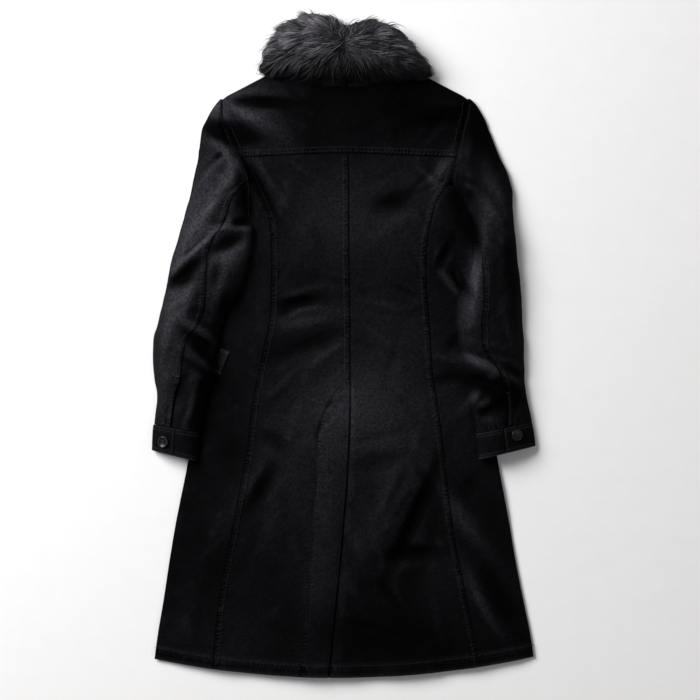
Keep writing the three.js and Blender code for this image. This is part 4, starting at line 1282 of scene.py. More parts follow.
def backs():
    left_princess, centre, right_princess = body["left_princess"], body["centre"], body["right_princess"]
    vent_x, vent_up = smooth_path(VENT_ROW)
    left_rows = [
        seam_row(centre, -WELT["wide"], ROWS_TOP + 1, VENT_TOP + 6),
        seam_row(left_princess, PRINCESS_ROW, ROWS_TOP, ROWS_FOOT),
        (vent_x, vent_up, {}),
    ]
    for bar in VENT_BARS:
        t = np.linspace(0, 1, 24)
        xs, ups = [np.interp(t, [0, 0.5, 1], [corner[i] for corner in bar]) for i in (0, 1)]
        left_rows.append((xs, ups, {}))
        left_rows.append((xs[:4], ups[:4], BAR_TACK))
    right_rows = [seam_row(right_princess, -PRINCESS_ROW, ROWS_TOP, ROWS_FOOT)]
    under_yoke = YOKE_UP - HALF_GAP
    panels = [
        ("back_left", moved(left_princess, 1), moved(centre, -1), 165, under_yoke, vent_relief,
         left_rows, ["front_left", "back_right"]),
        ("back_right", moved(underlap_left, 1), moved(right_princess, -1), 215, under_yoke, vent_press,
         right_rows, ["front_left", "front_right"]),
        ("side_back_left", body["left"], moved(left_princess, -1), 85, ARMPIT_UP, None,
         [], ["front_left"]),
        ("side_back_right", moved(right_princess, 1), body["right"], 80, ARMPIT_UP, None,
         [], ["front_right"]),
    ]
    for panel in panels:
        back_panel(*panel)


# The fronts, flat on the surface and hidden by the back


def front(node, side):
    outline = body["left"] if side < 0 else body["right"]
    inner_edge = FRONT_EDGE["left" if side < 0 else "right"]
    lap_from = 60
    cloth_over = FRONT_CLOTH + SEAM_GAP if side < 0 else 0

    def spot(place, t):
        spread = np.maximum(0, place - lap_from) / (SHOULDER["x"] - lap_from)
        near = np.minimum(place, lap_from)

        def across(up):
            return side * mix(near, np.abs(outline(up)) - HALF_GAP, spread)

        gap = np.where(np.abs(place) < NECK["x"], 1.0, SEAM_GAP)
        up = mix(front_neckline(place) - gap, hem_line(across(0 * place)) + 1.5, t)
        return across(up), up

    def low_height(x, up):
        past = np.abs(x)
        bed = FRONT_BUTTONS["bed"]
        off_bed = ease(bed, bed + FRONT_BUTTONS["slope"], past)
        over_buttons = (FRONT_BUTTONS["thick"] + SEAM_GAP) * (1 - off_bed)
        crease = np.clip(0.5 * drift(x + 300, up) + 0.35 * crumple(x + 500, up) - 0.35, 0, 1.1)
        return FRONT_SOLE + over_buttons + cloth_over * ease(-60, -40, x) + crease * ease(40, 80, past)

    def low_place(x, up):
        return stacked(x, up, low_height(x, up))

    under = Surface(low_place, sign=-1)
    place = np.linspace(SHOULDER["x"], inner_edge, 44)[None, :]
    x, up = spot(place, np.linspace(0, 1, 170)[:, None])
    outer = under.place(x, up)
    inner = outer + [0, 0, FRONT_CLOTH - FRONT_SOLE]
    edge_x = side * (inner_edge + np.zeros(200))
    heights = np.linspace(900, 12, 200)
    for inset in FRONT_ROWS:
        row_on(node, under, edge_x + side * inset, heights)
    hem = np.linspace(side * (inner_edge + 4), outline(0.0) - side * 4, 120)
    row_on(node, under, hem, hem_line(hem) + HEM_ROW)
    worn = 0.6 * np.exp(-(((place - inner_edge) / 4) ** 2)) + 0.5 * np.exp(-(((up - hem_line(x)) / 5) ** 2))
    cloth(node, outer, inner, worn + 0 * x)


# The sleeves


def share_across(way):
    """How far across a sleeve a way round it lies, from its inner edge to its outer one."""
    return np.where(way > 1, 2 - way, way)


def sleeve_reader(name):
    """One sleeve as a surface of a way round and a height.

    Way 0 is the inner edge, 1 the outer edge over the top, 2 the inner edge from below.
    """
    sleeve = SLEEVES[name]
    side = sleeve["side"]
    edges = {column: curve(sleeve["edges"], "up", column) for column in ("outer", "inner", "elbow", "rise")}
    body_edge = body["left"] if side < 0 else body["right"]
    loop = LOOPS[name]

    def opened(up):
        return ease(sleeve["opening"]["to"], sleeve["opening"]["from"], up)

    def inner_edge(up):
        return mix(edges["inner"](up), np.abs(body_edge(up)) - SEAM_GAP, opened(up))

    def support(x, up):
        outside = (x - body_edge(up)) * side
        near_loop = -(((x - loop["x"]) / 22) ** 4) - ((up - loop["up"]) / 34) ** 4
        on_body = back_height(x, up) + hem_raise(x, up) + LAY_GAP + LOOP["room"] * np.exp(near_loop)
        return np.where(outside < 0, on_body, on_body * (1 - ease(3, 18, outside)))

    def place(way, up):
        across = share_across(way)
        closed = 1 - opened(up)
        rise = edges["rise"](up)
        x = side * mix(inner_edge(up), edges["outer"](up), across)
        lift = support(x, up) * closed
        out_edge = np.minimum(SLEEVE_ROLL, 0.3 * rise + 1.6)
        in_edge = support(side * inner_edge(up), up) + SLEEVE_ROLL
        inner_top = mix(in_edge, back_height(x, up), opened(up))
        between = mix(inner_top, out_edge, ease(0, 1, across))
        bulge = (1 - np.clip(np.abs(2 * across - 1), 0, 1) ** 2.4) ** 0.62
        softened = mix(1, ease(0, 0.32, across), opened(up))
        crease = fold_height(sleeve["folds"], x, up) + fold_height(sleeve["creases"], x, up)
        shaped = crease * np.clip(bulge * 1.5, 0, 1) * np.clip(rise / 14, 0, 1)
        least = lift + 2 * CLOTH + 2.4
        height = between + rise * bulge * softened + shaped
        inward = 1 - opened(up) * (1 - ease(0, 0.5, across))
        keep = ease(0, 0.12, across) * ease(1, 0.88, across) * inward
        top = mix(height, np.maximum(height, least), keep)
        outer_roll = (out_edge - lift) * (1 - ease(0, 0.09, 1 - across))
        inner_roll = (in_edge - SEAM_GAP - lift) * closed * (1 - ease(0, 0.09, across))
        low = np.maximum(0, lift + outer_roll + inner_roll)
        return stacked(x, up, np.where(way > 1, low, top))

    def span(up):
        return edges["outer"](up) - inner_edge(up)

    def way_of(up, x):
        return np.clip((np.abs(x) - inner_edge(up)) / span(up), 0, 1)

    def normal(way, up):
        onward = place(np.minimum(2, way + 0.01), up) - place(np.maximum(0, way - 0.01), up)
        down = place(way, up - 1) - place(way, up + 1)
        turned = unit(np.cross(onward, down) * -side)
        folded = np.where((way < 0.02) | (way > 1.98), 1 - opened(up), 0)[..., None]
        return unit(mix(turned, np.array([-side, 0, 0]), folded))

    def row_up(level, way):
        slant = sleeve["cuff_top"]["outer"] - sleeve["cuff_top"]["inner"]
        return level + slant * share_across(way) * ease(700, 430, level)

    def above_cuff(way, up):
        return up - mix(sleeve["cuff_top"]["inner"], sleeve["cuff_top"]["outer"], share_across(way))

    def elbow_way(level):
        way = np.full(np.shape(level), 0.5)
        for _ in range(6):
            up = row_up(level, way)
            way = way_of(up, edges["elbow"](up))
        return way

    return {
        "sleeve": sleeve,
        "side": side,
        "edges": edges,
        "inner_edge": inner_edge,
        "span": span,
        "above_cuff": above_cuff,
        "place": place,
        "normal": normal,
        "row_up": row_up,
        "elbow_way": elbow_way,
        "way_of": way_of,
        "opened": opened,
    }


def cosine(start, end, count):
    """Places from start to end, closer together at both."""
    t = (1 - np.cos(np.linspace(0, math.pi, count + 1))) / 2
    return start + (end - start) * t


class Relieved:
    """A sleeve's surface with its seams, pucker and crumple moved out along its normal."""

    def __init__(self, reader, relief):
        self.reader = reader
        self.relief = relief

    def place(self, way, up):
        points = self.reader["place"](way, up)
        return points + self.normal(way, up) * self.relief(way, up)[..., None]

    def normal(self, way, up):
        return self.reader["normal"](way, up)


def sleeve_relief(reader):
    """Heights of the elbow seam, the armhole, the cuff seam and the crumpled cloth between them."""
    shift = 700 * reader["side"]

    def read(way, up):
        span = reader["span"](up)
        seam = (way - reader["way_of"](up, reader["edges"]["elbow"](up))) * span
        has_elbow = ease(reader["sleeve"]["elbow_top"], reader["sleeve"]["elbow_top"] - 24, up)
        top = np.where(way > 1, 0, 1)
        elbow = seam_shape(seam, up, 5.1) * has_elbow * top
        armhole = 0.4 * seam_shape(way * span, up, 0.9) * reader["opened"](up) * top
        cuffed = reader["above_cuff"](way, up)
        gathered = np.sin(way * span / 2.6 + 2 * pucker_drift(way * span, 30)) * np.exp(-((cuffed / 12) ** 2))
        loose = 0.5 * crumple(way * span + shift, up) + 1.1 * drift(way * span + shift, up)
        loose = loose + 0.15 * rumple(way * span + shift, up)
        edge = ease(0, 0.06, way) * ease(0, 0.06, 2 - way)
        flat_below = np.where(way > 1, 0.25 * ease(1.5, 1.1, way), 1)
        return (elbow + armhole + 0.4 * gathered + loose) * edge * flat_below

    return read


def sleeve_piece(name, kind):
    reader = sleeve_reader(name)
    surface = Relieved(reader, sleeve_relief(reader))
    sleeve, side = reader["sleeve"], reader["side"]
    span = reader["span"]
    foot = sleeve["cuff_top"]["inner"] + SEAM_GAP
    top = SLEEVE_TOP if kind == "upper" else sleeve["under_top"]
    level = np.concatenate([np.arange(top, foot + 6, -GRID), foot + np.array([5, 3.5, 2.2, 1, 0])])[:, None]
    seam = reader["elbow_way"](level)
    slit_top = sleeve["slit_top"]
    opening = SEAM_GAP + (kind == "upper") * SLIT_GAP * ease(slit_top, slit_top - 10, level)
    gap = SEAM_GAP / span(level)
    if kind == "upper":
        near = np.array([0, 0.8, 1.8, 3, 4.6, 6.4, 8, 9.2, 10.4])
        steps = cosine(0, 1, 26)[1:][None, :]
        fitted = np.minimum(1, (1 - seam - gap) * span(level) / 24)
        first = seam + opening / span(level) + near[None, :] / span(level) * fitted
        over = first[:, -1:] + (1 - first[:, -1:]) * steps
        below = 1 + (1 - gap) * cosine(0, 1, 26)[1:][None, :]
        way = np.concatenate([first, over, below], axis=1)
    else:
        way = seam * (1 - np.cos(np.linspace(0, math.pi / 2, 26)))[None, :]
    up = reader["row_up"](level, way)
    outer = surface.place(way, up)
    outer[..., 2] = np.maximum(outer[..., 2], 0)
    inner = outer - surface.normal(way, up) * CLOTH
    node = f"{kind}_sleeve_{name}"
    heights = np.linspace(sleeve["elbow_top"] - 8, foot + 3, 200)
    seam_ways = reader["elbow_way"](heights)
    beside = seam_ways + ELBOW_ROW / span(heights)
    if kind == "upper":
        row_on(node, surface, beside, reader["row_up"](heights, beside))
        slit_heights = np.linspace(slit_top, foot + 3, 60)
        slit_way = reader["elbow_way"](slit_heights) + (SLIT_GAP + 2) / span(slit_heights)
        row_on(node, surface, slit_way, reader["row_up"](slit_heights, slit_way))
        tack = np.linspace(0.5, 7, 8) / span(slit_top)
        tack_way = reader["elbow_way"](slit_top + 0 * tack) + tack
        row_on(node, surface, tack_way, reader["row_up"](slit_top + 0 * tack, tack_way), **BAR_TACK)
        arm = np.linspace(922, sleeve["opening"]["from"] + 6, 120)
        arm_way = SLEEVE_HEAD_ROW / span(arm)
        row_on(node, surface, arm_way, arm)
    distance = (way - seam) * span(level)
    near_seam = seam_wear(distance) * ease(sleeve["elbow_top"] + 6, sleeve["elbow_top"] - 12, up) * (way < 1)
    folded = 0.12 * np.exp(-(((way - 1) / 0.05) ** 2))
    # Faded dye together with painted light, mostly kept to the upper side
    faded_and_painted_light = fold_height(FADES_AND_PAINTED_LIGHT, outer[..., 0], up) * mix(1, 0.2, ease(0.93, 1.05, way))
    worn = near_seam + folded + ridge_wear_and_highlight(outer) * (way < 1) + faded_and_painted_light
    sewn_share = ease(sleeve["elbow_top"] + 6, sleeve["elbow_top"] - 12, up) * (way < 1)
    seams = seam_pull_and_painted_shade(
        (distance, up, sewn_share),
        (way * span(level), up, 0.3 * reader["opened"](up) * (way < 1)),
        (reader["above_cuff"](way, up), way * span(level), 0.9 + 0 * way),
    )
    cloth(node, outer, inner, worn, seams)


CUFF_ROWS = (0, 0.02, 0.05, 0.09, 0.14, 0.22, 0.32, 0.44, 0.56, 0.68, 0.78, 0.86, 0.91, 0.95, 0.98, 1)


def cuff(name):
    """The cuff winds once round the wrist, and its tab laps over its own beginning."""
    reader = sleeve_reader(name)
    sleeve, side = reader["sleeve"], reader["side"]
    wrist = mix(sleeve["cuff_top"]["outer"], sleeve["cuff_end"]["inner"], 0.5)
    span = float(reader["span"](wrist))
    tab_way = 1 - sleeve["tab"]["edge"] / span
    lap_way = tab_way + 17 / span
    lapped = [lap_way, mix(lap_way, tab_way, 0.5), tab_way]
    over = [tab_way - 0.05, tab_way - 0.12, tab_way / 2, tab_way / 4, 0.04]
    winding = np.concatenate([lapped, over, cosine(0, -1, 9), cosine(-1, tab_way - 2, 6)[1:]])
    proud = mix(-1.9, 0.9, ease(1, 4.2, np.arange(len(winding))))
    fine = np.linspace(0, len(winding) - 1, 6 * (len(winding) - 1) + 1)
    winding = np.interp(fine, np.arange(len(proud)), winding)
    ways = np.where(winding < 0, winding + 2, winding)
    proud = np.interp(fine, np.arange(len(proud)), proud)
    t = np.array(CUFF_ROWS)[:, None]
    across = share_across(ways)[None, :]
    top = mix(sleeve["cuff_top"]["inner"], sleeve["cuff_top"]["outer"], across)
    end = mix(sleeve["cuff_end"]["inner"], sleeve["cuff_end"]["outer"], across)
    up = mix(top, end, t)
    way = np.minimum(ways[None, :] + 0 * up, 1.985)
    base = reader["place"](way, up)
    turned = unit(np.cross(np.gradient(base, axis=1), np.gradient(base, axis=0)) * side)
    rounded = 0.5 * (1 - ease(0, 0.09, t)) + 0.5 * (1 - ease(0, 0.09, 1 - t))
    rows_drawn = np.exp(-(((t - 0.13) / 0.03) ** 2)) + np.exp(-(((t - 0.87) / 0.03) ** 2))
    ropy = 0.16 * np.sin(way * span / 1.9 + 5 * t) * (ways[None, :] < 1.02)
    outer = base + turned * (proud[None, :] - rounded - 0.3 * rows_drawn + ropy)[..., None]
    outer[..., 2] = np.maximum(outer[..., 2], 0)
    inner = outer - turned * 1.5
    node = f"cuff_{name}"
    for i in (4, 11):
        keep = slice(3 * 6, len(ways) - 1)
        stitches(node, outer[i, keep], turned[i, keep], **TOPSTITCH)
    tab_column = len(ways) - 5
    stitches(node, outer[2:-2, tab_column], turned[2:-2, tab_column], **TOPSTITCH)
    worn = 0.25 * (1 - ease(0.0, 0.1, t)) + 0.4 * (1 - ease(0.0, 0.1, 1 - t)) + 0.1 * rows_drawn
    worn = worn + 0.25 * (1 - ease(0, 4, len(ways) - 1 - np.arange(len(ways))))[None, :]
    cloth(node, outer, inner, worn)


# Belt loops


def belt_loop(name):
    loop = LOOPS[name]
    angle = math.radians(loop["turn"])
    t = np.linspace(0, 1, 34)[:, None]
    s = np.linspace(0, 1, 14)[None, :]
    along = (t - 0.5) * LOOP["long"]
    across = (s - 0.5) * LOOP["wide"]
    x = loop["x"] + across * math.cos(angle) - along * math.sin(angle)
    up = loop["up"] + along * math.cos(angle) + across * math.sin(angle)
    bow = LOOP["bow"] * np.sin(np.pi * np.clip(t, 0, 1)) ** 0.7
    seat = back_height(x, up) + SEAM_GAP
    rounded = 0.5 * (np.exp(-((s / 0.06) ** 2)) + np.exp(-(((1 - s) / 0.06) ** 2)))
    fold = 0.35 * np.exp(-(((t - 0.1) / 0.05) ** 2)) + 0.35 * np.exp(-(((t - 0.9) / 0.05) ** 2))
    outer = stacked(x, up, seat + LOOP["thick"] + bow - rounded - fold)
    inner = stacked(x, up, seat + bow)
    node = f"belt_loop_{name}"
    upward = np.zeros_like(outer) + [0, 0, 1]
    for column in (2, 11):
        stitches(node, outer[:, column], upward[:, column], **TOPSTITCH)
    for row in (3, 4, 29, 30):
        stitches(node, outer[row], upward[row], **BAR_TACK)
    worn = 0.5 * rounded + 0.5 * np.abs(2 * t - 1) ** 6 + 0.12
    cloth(node, outer, inner, worn + 0 * x)


# Buttons


def button_points(radius, thick, rim, turns=56):
    """A dished button with a raised rim: profile rings from the back to the middle of the face."""
    profile = [(0, 0), (radius - 1.2, 0), (radius - 0.4, 0.25), (radius, 0.9), (radius, thick - 0.9)]
    profile += [(radius - 0.25, thick - 0.3), (radius - 0.8, thick), (radius - rim + 0.2, thick - 0.1)]
    profile += [(radius - rim - 0.5, thick - 0.7), (radius - rim - 1.3, thick - 1), (0, thick - 1)]
    turn = np.linspace(0, 2 * math.pi, turns, endpoint=False)
    rings = [stacked(r * np.cos(turn), r * np.sin(turn), z + 0 * turn) for r, z in profile[1:-1]]
    points = np.concatenate([[[0, 0, 0]], *rings, [[0, 0, profile[-1][1]]]])
    faces = []
    for i in range(turns):
        j = (i + 1) % turns
        faces.append((0, 1 + j, 1 + i))
        for ring in range(len(rings) - 1):
            a, b = 1 + ring * turns, 1 + (ring + 1) * turns
            faces.append((a + i, a + j, b + j, b + i))
        last = 1 + (len(rings) - 1) * turns
        faces.append((last + i, last + j, len(points) - 1))
    return points, faces


def drilled(obj, holes, radius, deep):
    """Drills round holes through a button."""
    cutters = []
    for x, y in holes:
        turn = np.linspace(0, 2 * math.pi, 20, endpoint=False)
        ring = stacked(x + radius * np.cos(turn), y + radius * np.sin(turn), 0 * turn)
        points = np.concatenate([ring - [0, 0, 1], ring + [0, 0, deep]])
        faces = [tuple(range(19, -1, -1)), tuple(range(20, 40))]
        faces += [(i, (i + 1) % 20, 20 + (i + 1) % 20, 20 + i) for i in range(20)]
        cutters.append(mesh_object("drill", points * MM, faces, smooth=False))
        cut = obj.modifiers.new("hole", "BOOLEAN")
        cut.operation = "DIFFERENCE"
        cut.solver = "EXACT"
        cut.object = cutters[-1]
    apply_modifiers(obj)
    for cutter in cutters:
        bpy.data.objects.remove(cutter)


BUTTON_HOLES = [(1.9, 1.9), (-1.9, 1.9), (-1.9, -1.9), (1.9, -1.9)]


def button(node, size, seat, normal, face_down=False):
    """One four-hole button with its thread, in place of its solid."""
    points, faces = button_points(**size)
    obj = mesh_object(f"{node}_horn", points * MM, faces, HORN)
    bpy.context.view_layer.update()
    drilled(obj, BUTTON_HOLES, 0.85, size["thick"] + 1)
    obj.data.set_sharp_from_angle(angle=math.radians(40))
    turn = Vector((0, 0, 1)).rotation_difference(Vector(normal)).to_matrix()
    if face_down:
        flip = np.diag([1, -1, -1])
        shift = np.array([0, 0, size["thick"]])
    else:
        flip = np.eye(3)
        shift = np.zeros(3)

    def place(points):
        return ((np.asarray(points) @ flip.T + shift) @ np.array(turn).T + seat + PART_ZERO) * MM

    obj.data.vertices.foreach_set("co", place(vertex_vectors(obj.data, "co") / MM).ravel())
    obj.data.update()
    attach(obj, "root")
    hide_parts(node)
    height = size["thick"] - 0.85
    t = np.linspace(0, 1, 7)[:, None]
    for start, end in ((0, 1), (3, 2)):
        for side in (-0.28, 0, 0.28):
            a = np.array([*BUTTON_HOLES[start], height - 0.4]) + [0, side, 0]
            b = np.array([*BUTTON_HOLES[end], height - 0.4]) + [0, side, 0]
            path = mix(a, b, t) + np.array([0, 0, 0.9]) * np.sin(np.pi * t) ** 0.5
            world = place(path) / MM - PART_ZERO
            outward = np.zeros_like(world) + np.array(turn) @ flip @ [0, 0, 1]
            stitches(node, world, outward, pitch=3.9, long=4.1, thick=0.5)
    sew(node, THREAD)


def buttons():
    for name in ("left", "right"):
        reader = sleeve_reader(name)
        tab = reader["sleeve"]["tab"]
        reach = CUFF_BUTTON["radius"]

        def at(dx, dy):
            up = np.array(tab["up"] + dy, float)
            return reader["place"](reader["way_of"](up, tab["x"] + dx), up)

        normal = np.cross(at(reach, 0) - at(-reach, 0), at(0, reach) - at(0, -reach))
        normal = normal / np.linalg.norm(normal)
        button(f"cuff_button_{name}", CUFF_BUTTON, at(0, 0) + normal * (0.9 + SEAM_GAP), normal)
    for i in range(FRONT_BUTTONS["count"]):
        seat = np.array([0, FRONT_BUTTONS["first"] - i * FRONT_BUTTONS["pitch"], 0.0])
        button(f"front_button_{i + 1}", FLAT_BUTTON, seat, (0, 0, 1), face_down=True)


# The fur collar: a dark under skin and the hair on it


def collar_sections(side, outs, across, ends):
    """Closed sections of one half of the roll, drawn in from the solid's by two shares."""
    sections = []
    for out in outs:
        x = side * out
        spread = out / FUR_END
        top = fur_top(x)
        low = FUR_LOW["middle"] + FUR_LOW["rise"] * spread**2
        crest = mix(FUR_CREST["middle"], FUR_CREST["end"], spread**2)
        seam = neckline(x) + HALF_GAP
        tail = min(front_neckline(x) + HALF_GAP, seam)
        rest = back_height(x, neckline(x) - SEAM_GAP)
        k = min(1, (top - low) / 95)
        f = min(1, (top - tail) / 70)
        roll = [(low, rest + 7), (low + 7 * k, mix(rest, crest, 0.55))]
        roll += [(low + 20 * k, crest - 6), (low + 38 * k, crest), (top - 30 * k, crest - 2)]
        roll += [(top - 13 * k, crest - 12), (top - 3 * k, crest * 0.62), (top, crest * 0.4)]
        sole = [(top - 4 * f, 8), (top - 14 * f, 0), (mix(tail, top, 0.5), 0), (tail + 12 * f, 0)]
        sole += [(tail + f, 2.5), (tail, min(7, rest - 3)), (mix(tail, seam, 0.15), min(11, rest - 2.6))]
        neck = [(mix(tail, seam, 0.6), rest - 2.4), (seam + 0.8, rest - 2.3), (seam, rest - 1.2)]
        neck += [(seam, rest + 0.6), (mix(low, seam, 0.3), rest + 1.6)]
        shrink = (1 - spread**8) ** 0.5 * across
        heart = (mix(seam, top, 0.45), crest * 0.42)
        spots = np.array(roll + sole + neck)
        drawn = mix(np.array(heart), spots, shrink)
        sections.append(stacked(x * ends, drawn[:, 0], drawn[:, 1]))
    return np.array(sections, float)


def fur_flow(points, turn):
    """The way the hair lies: out from the parting at the centre back and down, each hair a little turned."""
    x, up = points[:, 0], points[:, 1]
    nearest = np.clip(up, FUR_PARTING["low"], FUR_PARTING["high"])
    outward = unit(stacked(x, (up - nearest) * 1.5, 0 * x), 1e-6)
    spun = stacked(
        outward[:, 0] * np.cos(turn) - outward[:, 1] * np.sin(turn),
        outward[:, 0] * np.sin(turn) + outward[:, 1] * np.cos(turn) - 0.22,
        -0.5 + 0 * x,
    )
    return spun / np.linalg.norm(spun, axis=1, keepdims=True)


COLLAR_OUTS = (0.2, 0.6, 2, 6, 14, 24, 34, 44, 54, 64, 74, 84, 92, 100, 108, 116, 123, 129, 133, 136, 138)


def collar(name, side):
    sections = collar_sections(side, COLLAR_OUTS, FUR_SKIN["across"], FUR_SKIN["ends"])
    rings, count = sections.shape[:2]
    ends = sections[[0, -1]].mean(axis=1)
    points = np.concatenate([sections.reshape(-1, 3), ends])
    faces = []
    for i in range(count):
        j = (i + 1) % count
        for ring in range(rings - 1):
            a, b = ring * count, (ring + 1) * count
            faces.append((a + i, a + j, b + j, b + i))
        last = (rings - 1) * count
        faces.append((j, i, len(points) - 2))
        faces.append((last + i, last + j, len(points) - 1))
    if side > 0:
        faces = [face[::-1] for face in faces]
    skin = coat_mesh(f"collar_{name}_underfur", points, faces, UNDERFUR)
    refine = skin.modifiers.new("refine", "SUBSURF")
    refine.levels = refine.render_levels = 2
    apply_modifiers(skin)
    # The under skin is near black: the under-hair's own dark colour with painted shade deep in the fur
    point_values(skin, "tone", "FLOAT", np.full(len(skin.data.vertices), 0.12))
    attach(skin, "root")
    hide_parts(f"collar_{name}")
    hair(name, side, skin)


def tufted(path, rng):
    """Draws the strands together toward their tips, round a smaller number of guides."""
    guides = rng.choice(len(path), STRANDS["tufts"], replace=False)
    tree = kdtree.KDTree(len(guides))
    for i, guide in enumerate(guides):
        tree.insert(path[guide, 1], i)
    tree.balance()
    nearest = guides[[tree.find(spot)[1] for spot in path[:, 1]]]
    t = np.linspace(0, 1, path.shape[1])[None, :, None]
    pull = rng.uniform(0.25, 0.8, (len(path), 1, 1)) * t**1.3
    return mix(path, path[nearest], pull)


def nearest_on_skin(tree, normals, spots):
    """The nearest point of the skin to each spot, and the skin's normal there."""
    found = [tree.find(spot) for spot in spots]
    feet = np.array([tuple(foot) for foot, _, _ in found])
    return feet, normals[[index for _, index, _ in found]]


def strand_points(path, thick):
    """Three-sided tapered strands along their paths, each ending in a point."""
    ahead = unit(np.gradient(path, axis=1))
    across = unit(np.cross(ahead, np.array([0.3, 0.2, 1.0])))
    upward = np.cross(across, ahead)
    steps = path.shape[1] - 1
    rings = []
    for step in range(steps):
        radius = (thick * (1 - 0.62 * (step / steps) ** 1.5))[:, None]
        for corner in range(3):
            angle = 2 * math.pi * corner / 3
            out = across[:, step] * math.cos(angle) + upward[:, step] * math.sin(angle)
            rings.append(path[:, step] + radius * out)
    rings.append(path[:, steps])
    each = len(rings)
    sides = [(row + i, row + (i + 1) % 3) for row in range(0, 3 * steps - 3, 3) for i in range(3)]
    faces = []
    for first in range(0, len(path) * each, each):
        faces += [(first + a, first + b, first + b + 3, first + a + 3) for a, b in sides]
        last = first + each - 4
        faces += [(last + i, last + (i + 1) % 3, first + each - 1) for i in range(3)]
    return np.stack(rings, axis=1), faces


def hair(name, side, skin):
    """Tapered strands that follow the skin from root to tip and lift from it a little."""
    mesh = skin.data
    co = vertex_vectors(mesh, "co") / MM - PART_ZERO
    normals = vertex_vectors(mesh, "normal")
    tree = kdtree.KDTree(len(co))
    for i, point in enumerate(co):
        tree.insert(point, i)
    tree.balance()
    mesh.calc_loop_triangles()
    corners = np.array([t.vertices for t in mesh.loop_triangles])
    a, b, c = co[corners[:, 0]], co[corners[:, 1]], co[corners[:, 2]]
    area = np.linalg.norm(np.cross(b - a, c - a), axis=1)
    centre = (a + b + c) / 3
    facing = (normals[corners[:, 0]] + normals[corners[:, 1]] + normals[corners[:, 2]]) / 3
    bare = (centre[:, 2] < 6) | (facing[:, 2] < -0.35) | (np.abs(facing[:, 0] + side) < 0.2)
    weight = np.where(bare, 0, area * (0.6 + 0.9 * np.clip(facing[:, 2], 0, 1)))
    rng = np.random.default_rng(SEED + (5 if side < 0 else 6))
    total = STRANDS["count"]
    chosen = rng.choice(len(weight), total, p=weight / weight.sum())
    u, v = rng.random(total), rng.random(total)
    over = u + v > 1
    u, v = np.where(over, 1 - u, u), np.where(over, 1 - v, v)
    root = a[chosen] + (b - a)[chosen] * u[:, None] + (c - a)[chosen] * v[:, None]
    clump = waves(SEED + 20 + side, 12, 34, 10)
    curl = waves(SEED + 30 + side, 20, 60, 8)
    tuft = clump(root[:, 0], root[:, 1])
    parting = np.exp(-((root[:, 0] / 12) ** 2))
    turn = 0.3 * curl(root[:, 0], root[:, 1]) + 0.24 * tuft + rng.normal(0, 0.12 + 0.5 * parting)
    long = STRANDS["long"] + rng.normal(0, STRANDS["spread"], total) + 3 * tuft
    long = np.clip(long, 14, 48) * mix(1, 0.72, np.clip(np.abs(root[:, 0]) / FUR_END, 0, 1) ** 3)
    stray = 1 + 0.9 * (rng.random(total) < 0.07)
    lift = STRANDS["lift"] * np.clip(0.75 + 0.3 * tuft + rng.normal(0, 0.22, total), 0.15, 1.5) * stray
    steps = STRANDS["steps"]
    spots = [root]
    at = root.copy()
    for step in range(1, steps + 1):
        ways = nearest_on_skin(tree, normals, at)[1]
        flow = fur_flow(at, turn)
        flat = unit(flow - ways * (flow * ways).sum(axis=1, keepdims=True), 0.3)
        at = at + flat * (long / steps)[:, None]
        feet, ways = nearest_on_skin(tree, normals, at)
        t = step / steps
        out = ((at - feet) * ways).sum(axis=1)
        wanted = lift * (t**0.7)
        at = at + ways * (wanted - out)[:, None] * 0.85
        at[:, 2] = np.maximum(at[:, 2], 0.6 + 1.2 * rng.random(total))
        spots.append(at.copy())
    path = np.stack(spots, axis=1)
    path = tufted(path, rng)
    lowest = FUR_LOW["middle"] - 2 + FUR_LOW["rise"] * (path[..., 0] / FUR_END) ** 2
    path[..., 1] = np.where(path[..., 1] < lowest, mix(lowest, path[..., 1], 0.2), path[..., 1])
    thick = STRANDS["root"] * rng.uniform(0.7, 1.25, total)
    points, faces = strand_points(path, thick)
    obj = coat_mesh(f"collar_{name}_hair", points.reshape(-1, 3), faces, FUR_HAIR)
    # Painted shade: strands rooted low in the collar are darker
    depth = mix(0.3, 1, ease(12, 46, root[:, 2]))
    strand_tone = np.clip(0.36 + 0.5 * tuft + rng.normal(0, 0.42, total), 0.01, 1.3) * depth
    along = np.concatenate([np.repeat(np.arange(steps) / steps, 3), [1.0]])
    tone = strand_tone[:, None] * mix(0.1, 1.0, along[None, :])
    # Painted shade: hair near the collar's lower edge is darkened almost to black
    tone = tone * mix(0.02, 1, ease(FUR_LOW["middle"] + 2, FUR_LOW["middle"] + 74, points[..., 1]))
    point_values(obj, "tone", "FLOAT", tone)
    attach(obj, "root")


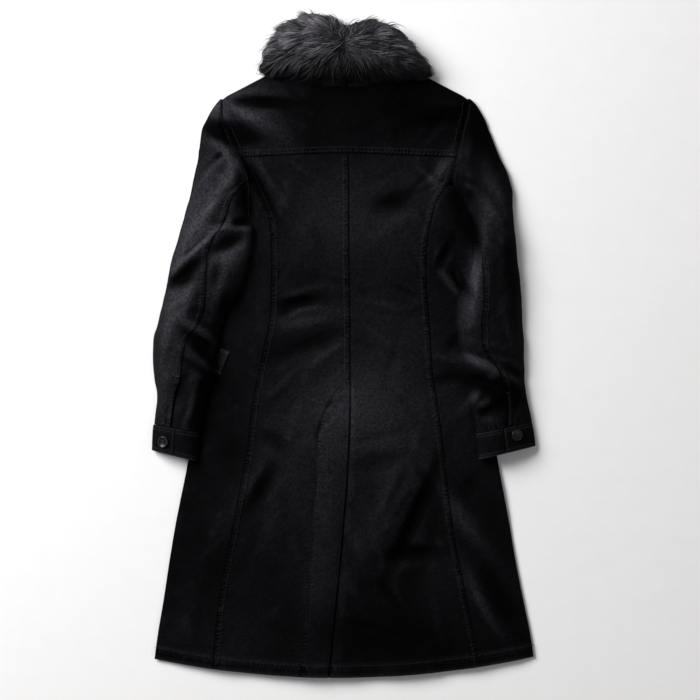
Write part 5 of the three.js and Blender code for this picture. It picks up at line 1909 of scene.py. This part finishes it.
yoke()
backs()
front("front_left", -1)
front("front_right", 1)
for name in SLEEVES:
    sleeve_piece(name, "upper")
    sleeve_piece(name, "under")
    cuff(name)
    belt_loop(name)
buttons()
collar("left", -1)
collar("right", 1)


# Floor, light and camera

FRAME_WIDE = 1.12
AIM = ((8 + PART_ZERO[0]) * MM, (528 + PART_ZERO[1]) * MM)
LENS = {"focal": 100, "sensor": 36}


def floor():
    material, tree, shader = new_material("pale floor")
    colour = blend(tree, noise(tree, 30.0, 4.0), (0.86, 0.86, 0.86, 1), (0.90, 0.90, 0.90, 1))
    feed(tree, shader, {"Base Color": colour})
    shader.inputs["Roughness"].default_value = 0.9
    half, drop = 14.0, -0.0006
    corners = [(-half, -half, drop), (half, -half, drop), (half, half, drop), (-half, half, drop)]
    mesh_object("floor", corners, [(0, 1, 2, 3)], material, smooth=False)


def soft_light(name, place, size, power, aim=(0, 0, 0)):
    data = bpy.data.lights.new(name, "AREA")
    data.shape = "RECTANGLE"
    data.size, data.size_y = size
    data.energy = power
    obj = bpy.data.objects.new(name, data)
    obj.location = place
    obj.rotation_euler = (Vector(aim) - Vector(place)).to_track_quat("-Z", "Y").to_euler()
    bpy.context.scene.collection.objects.link(obj)


def studio():
    world = bpy.data.worlds.new("studio")
    world.use_nodes = True
    world.node_tree.nodes["Background"].inputs["Color"].default_value = (1, 1, 1, 1)
    tree = world.node_tree
    path = add(tree, "LightPath")
    pale = ranged(tree, path.outputs["Is Camera Ray"], to_min=0.18, to_max=0.86)
    tree.links.new(pale, tree.nodes["Background"].inputs["Strength"])
    bpy.context.scene.world = world
    bpy.context.scene.view_settings.view_transform = "Standard"
    soft_light("key", (-2.5, 1.9, 2.2), (2.4, 2.0), 238)
    soft_light("fill", (2.2, -1.6, 2.6), (2.0, 2.0), 9)


def camera():
    data = bpy.data.cameras.new("camera")
    data.lens = LENS["focal"]
    data.sensor_width = LENS["sensor"]
    obj = bpy.data.objects.new("camera", data)
    obj.location = (*AIM, FRAME_WIDE * LENS["focal"] / LENS["sensor"] + 0.02)
    bpy.context.scene.collection.objects.link(obj)
    bpy.context.scene.camera = obj


floor()
studio()
camera()
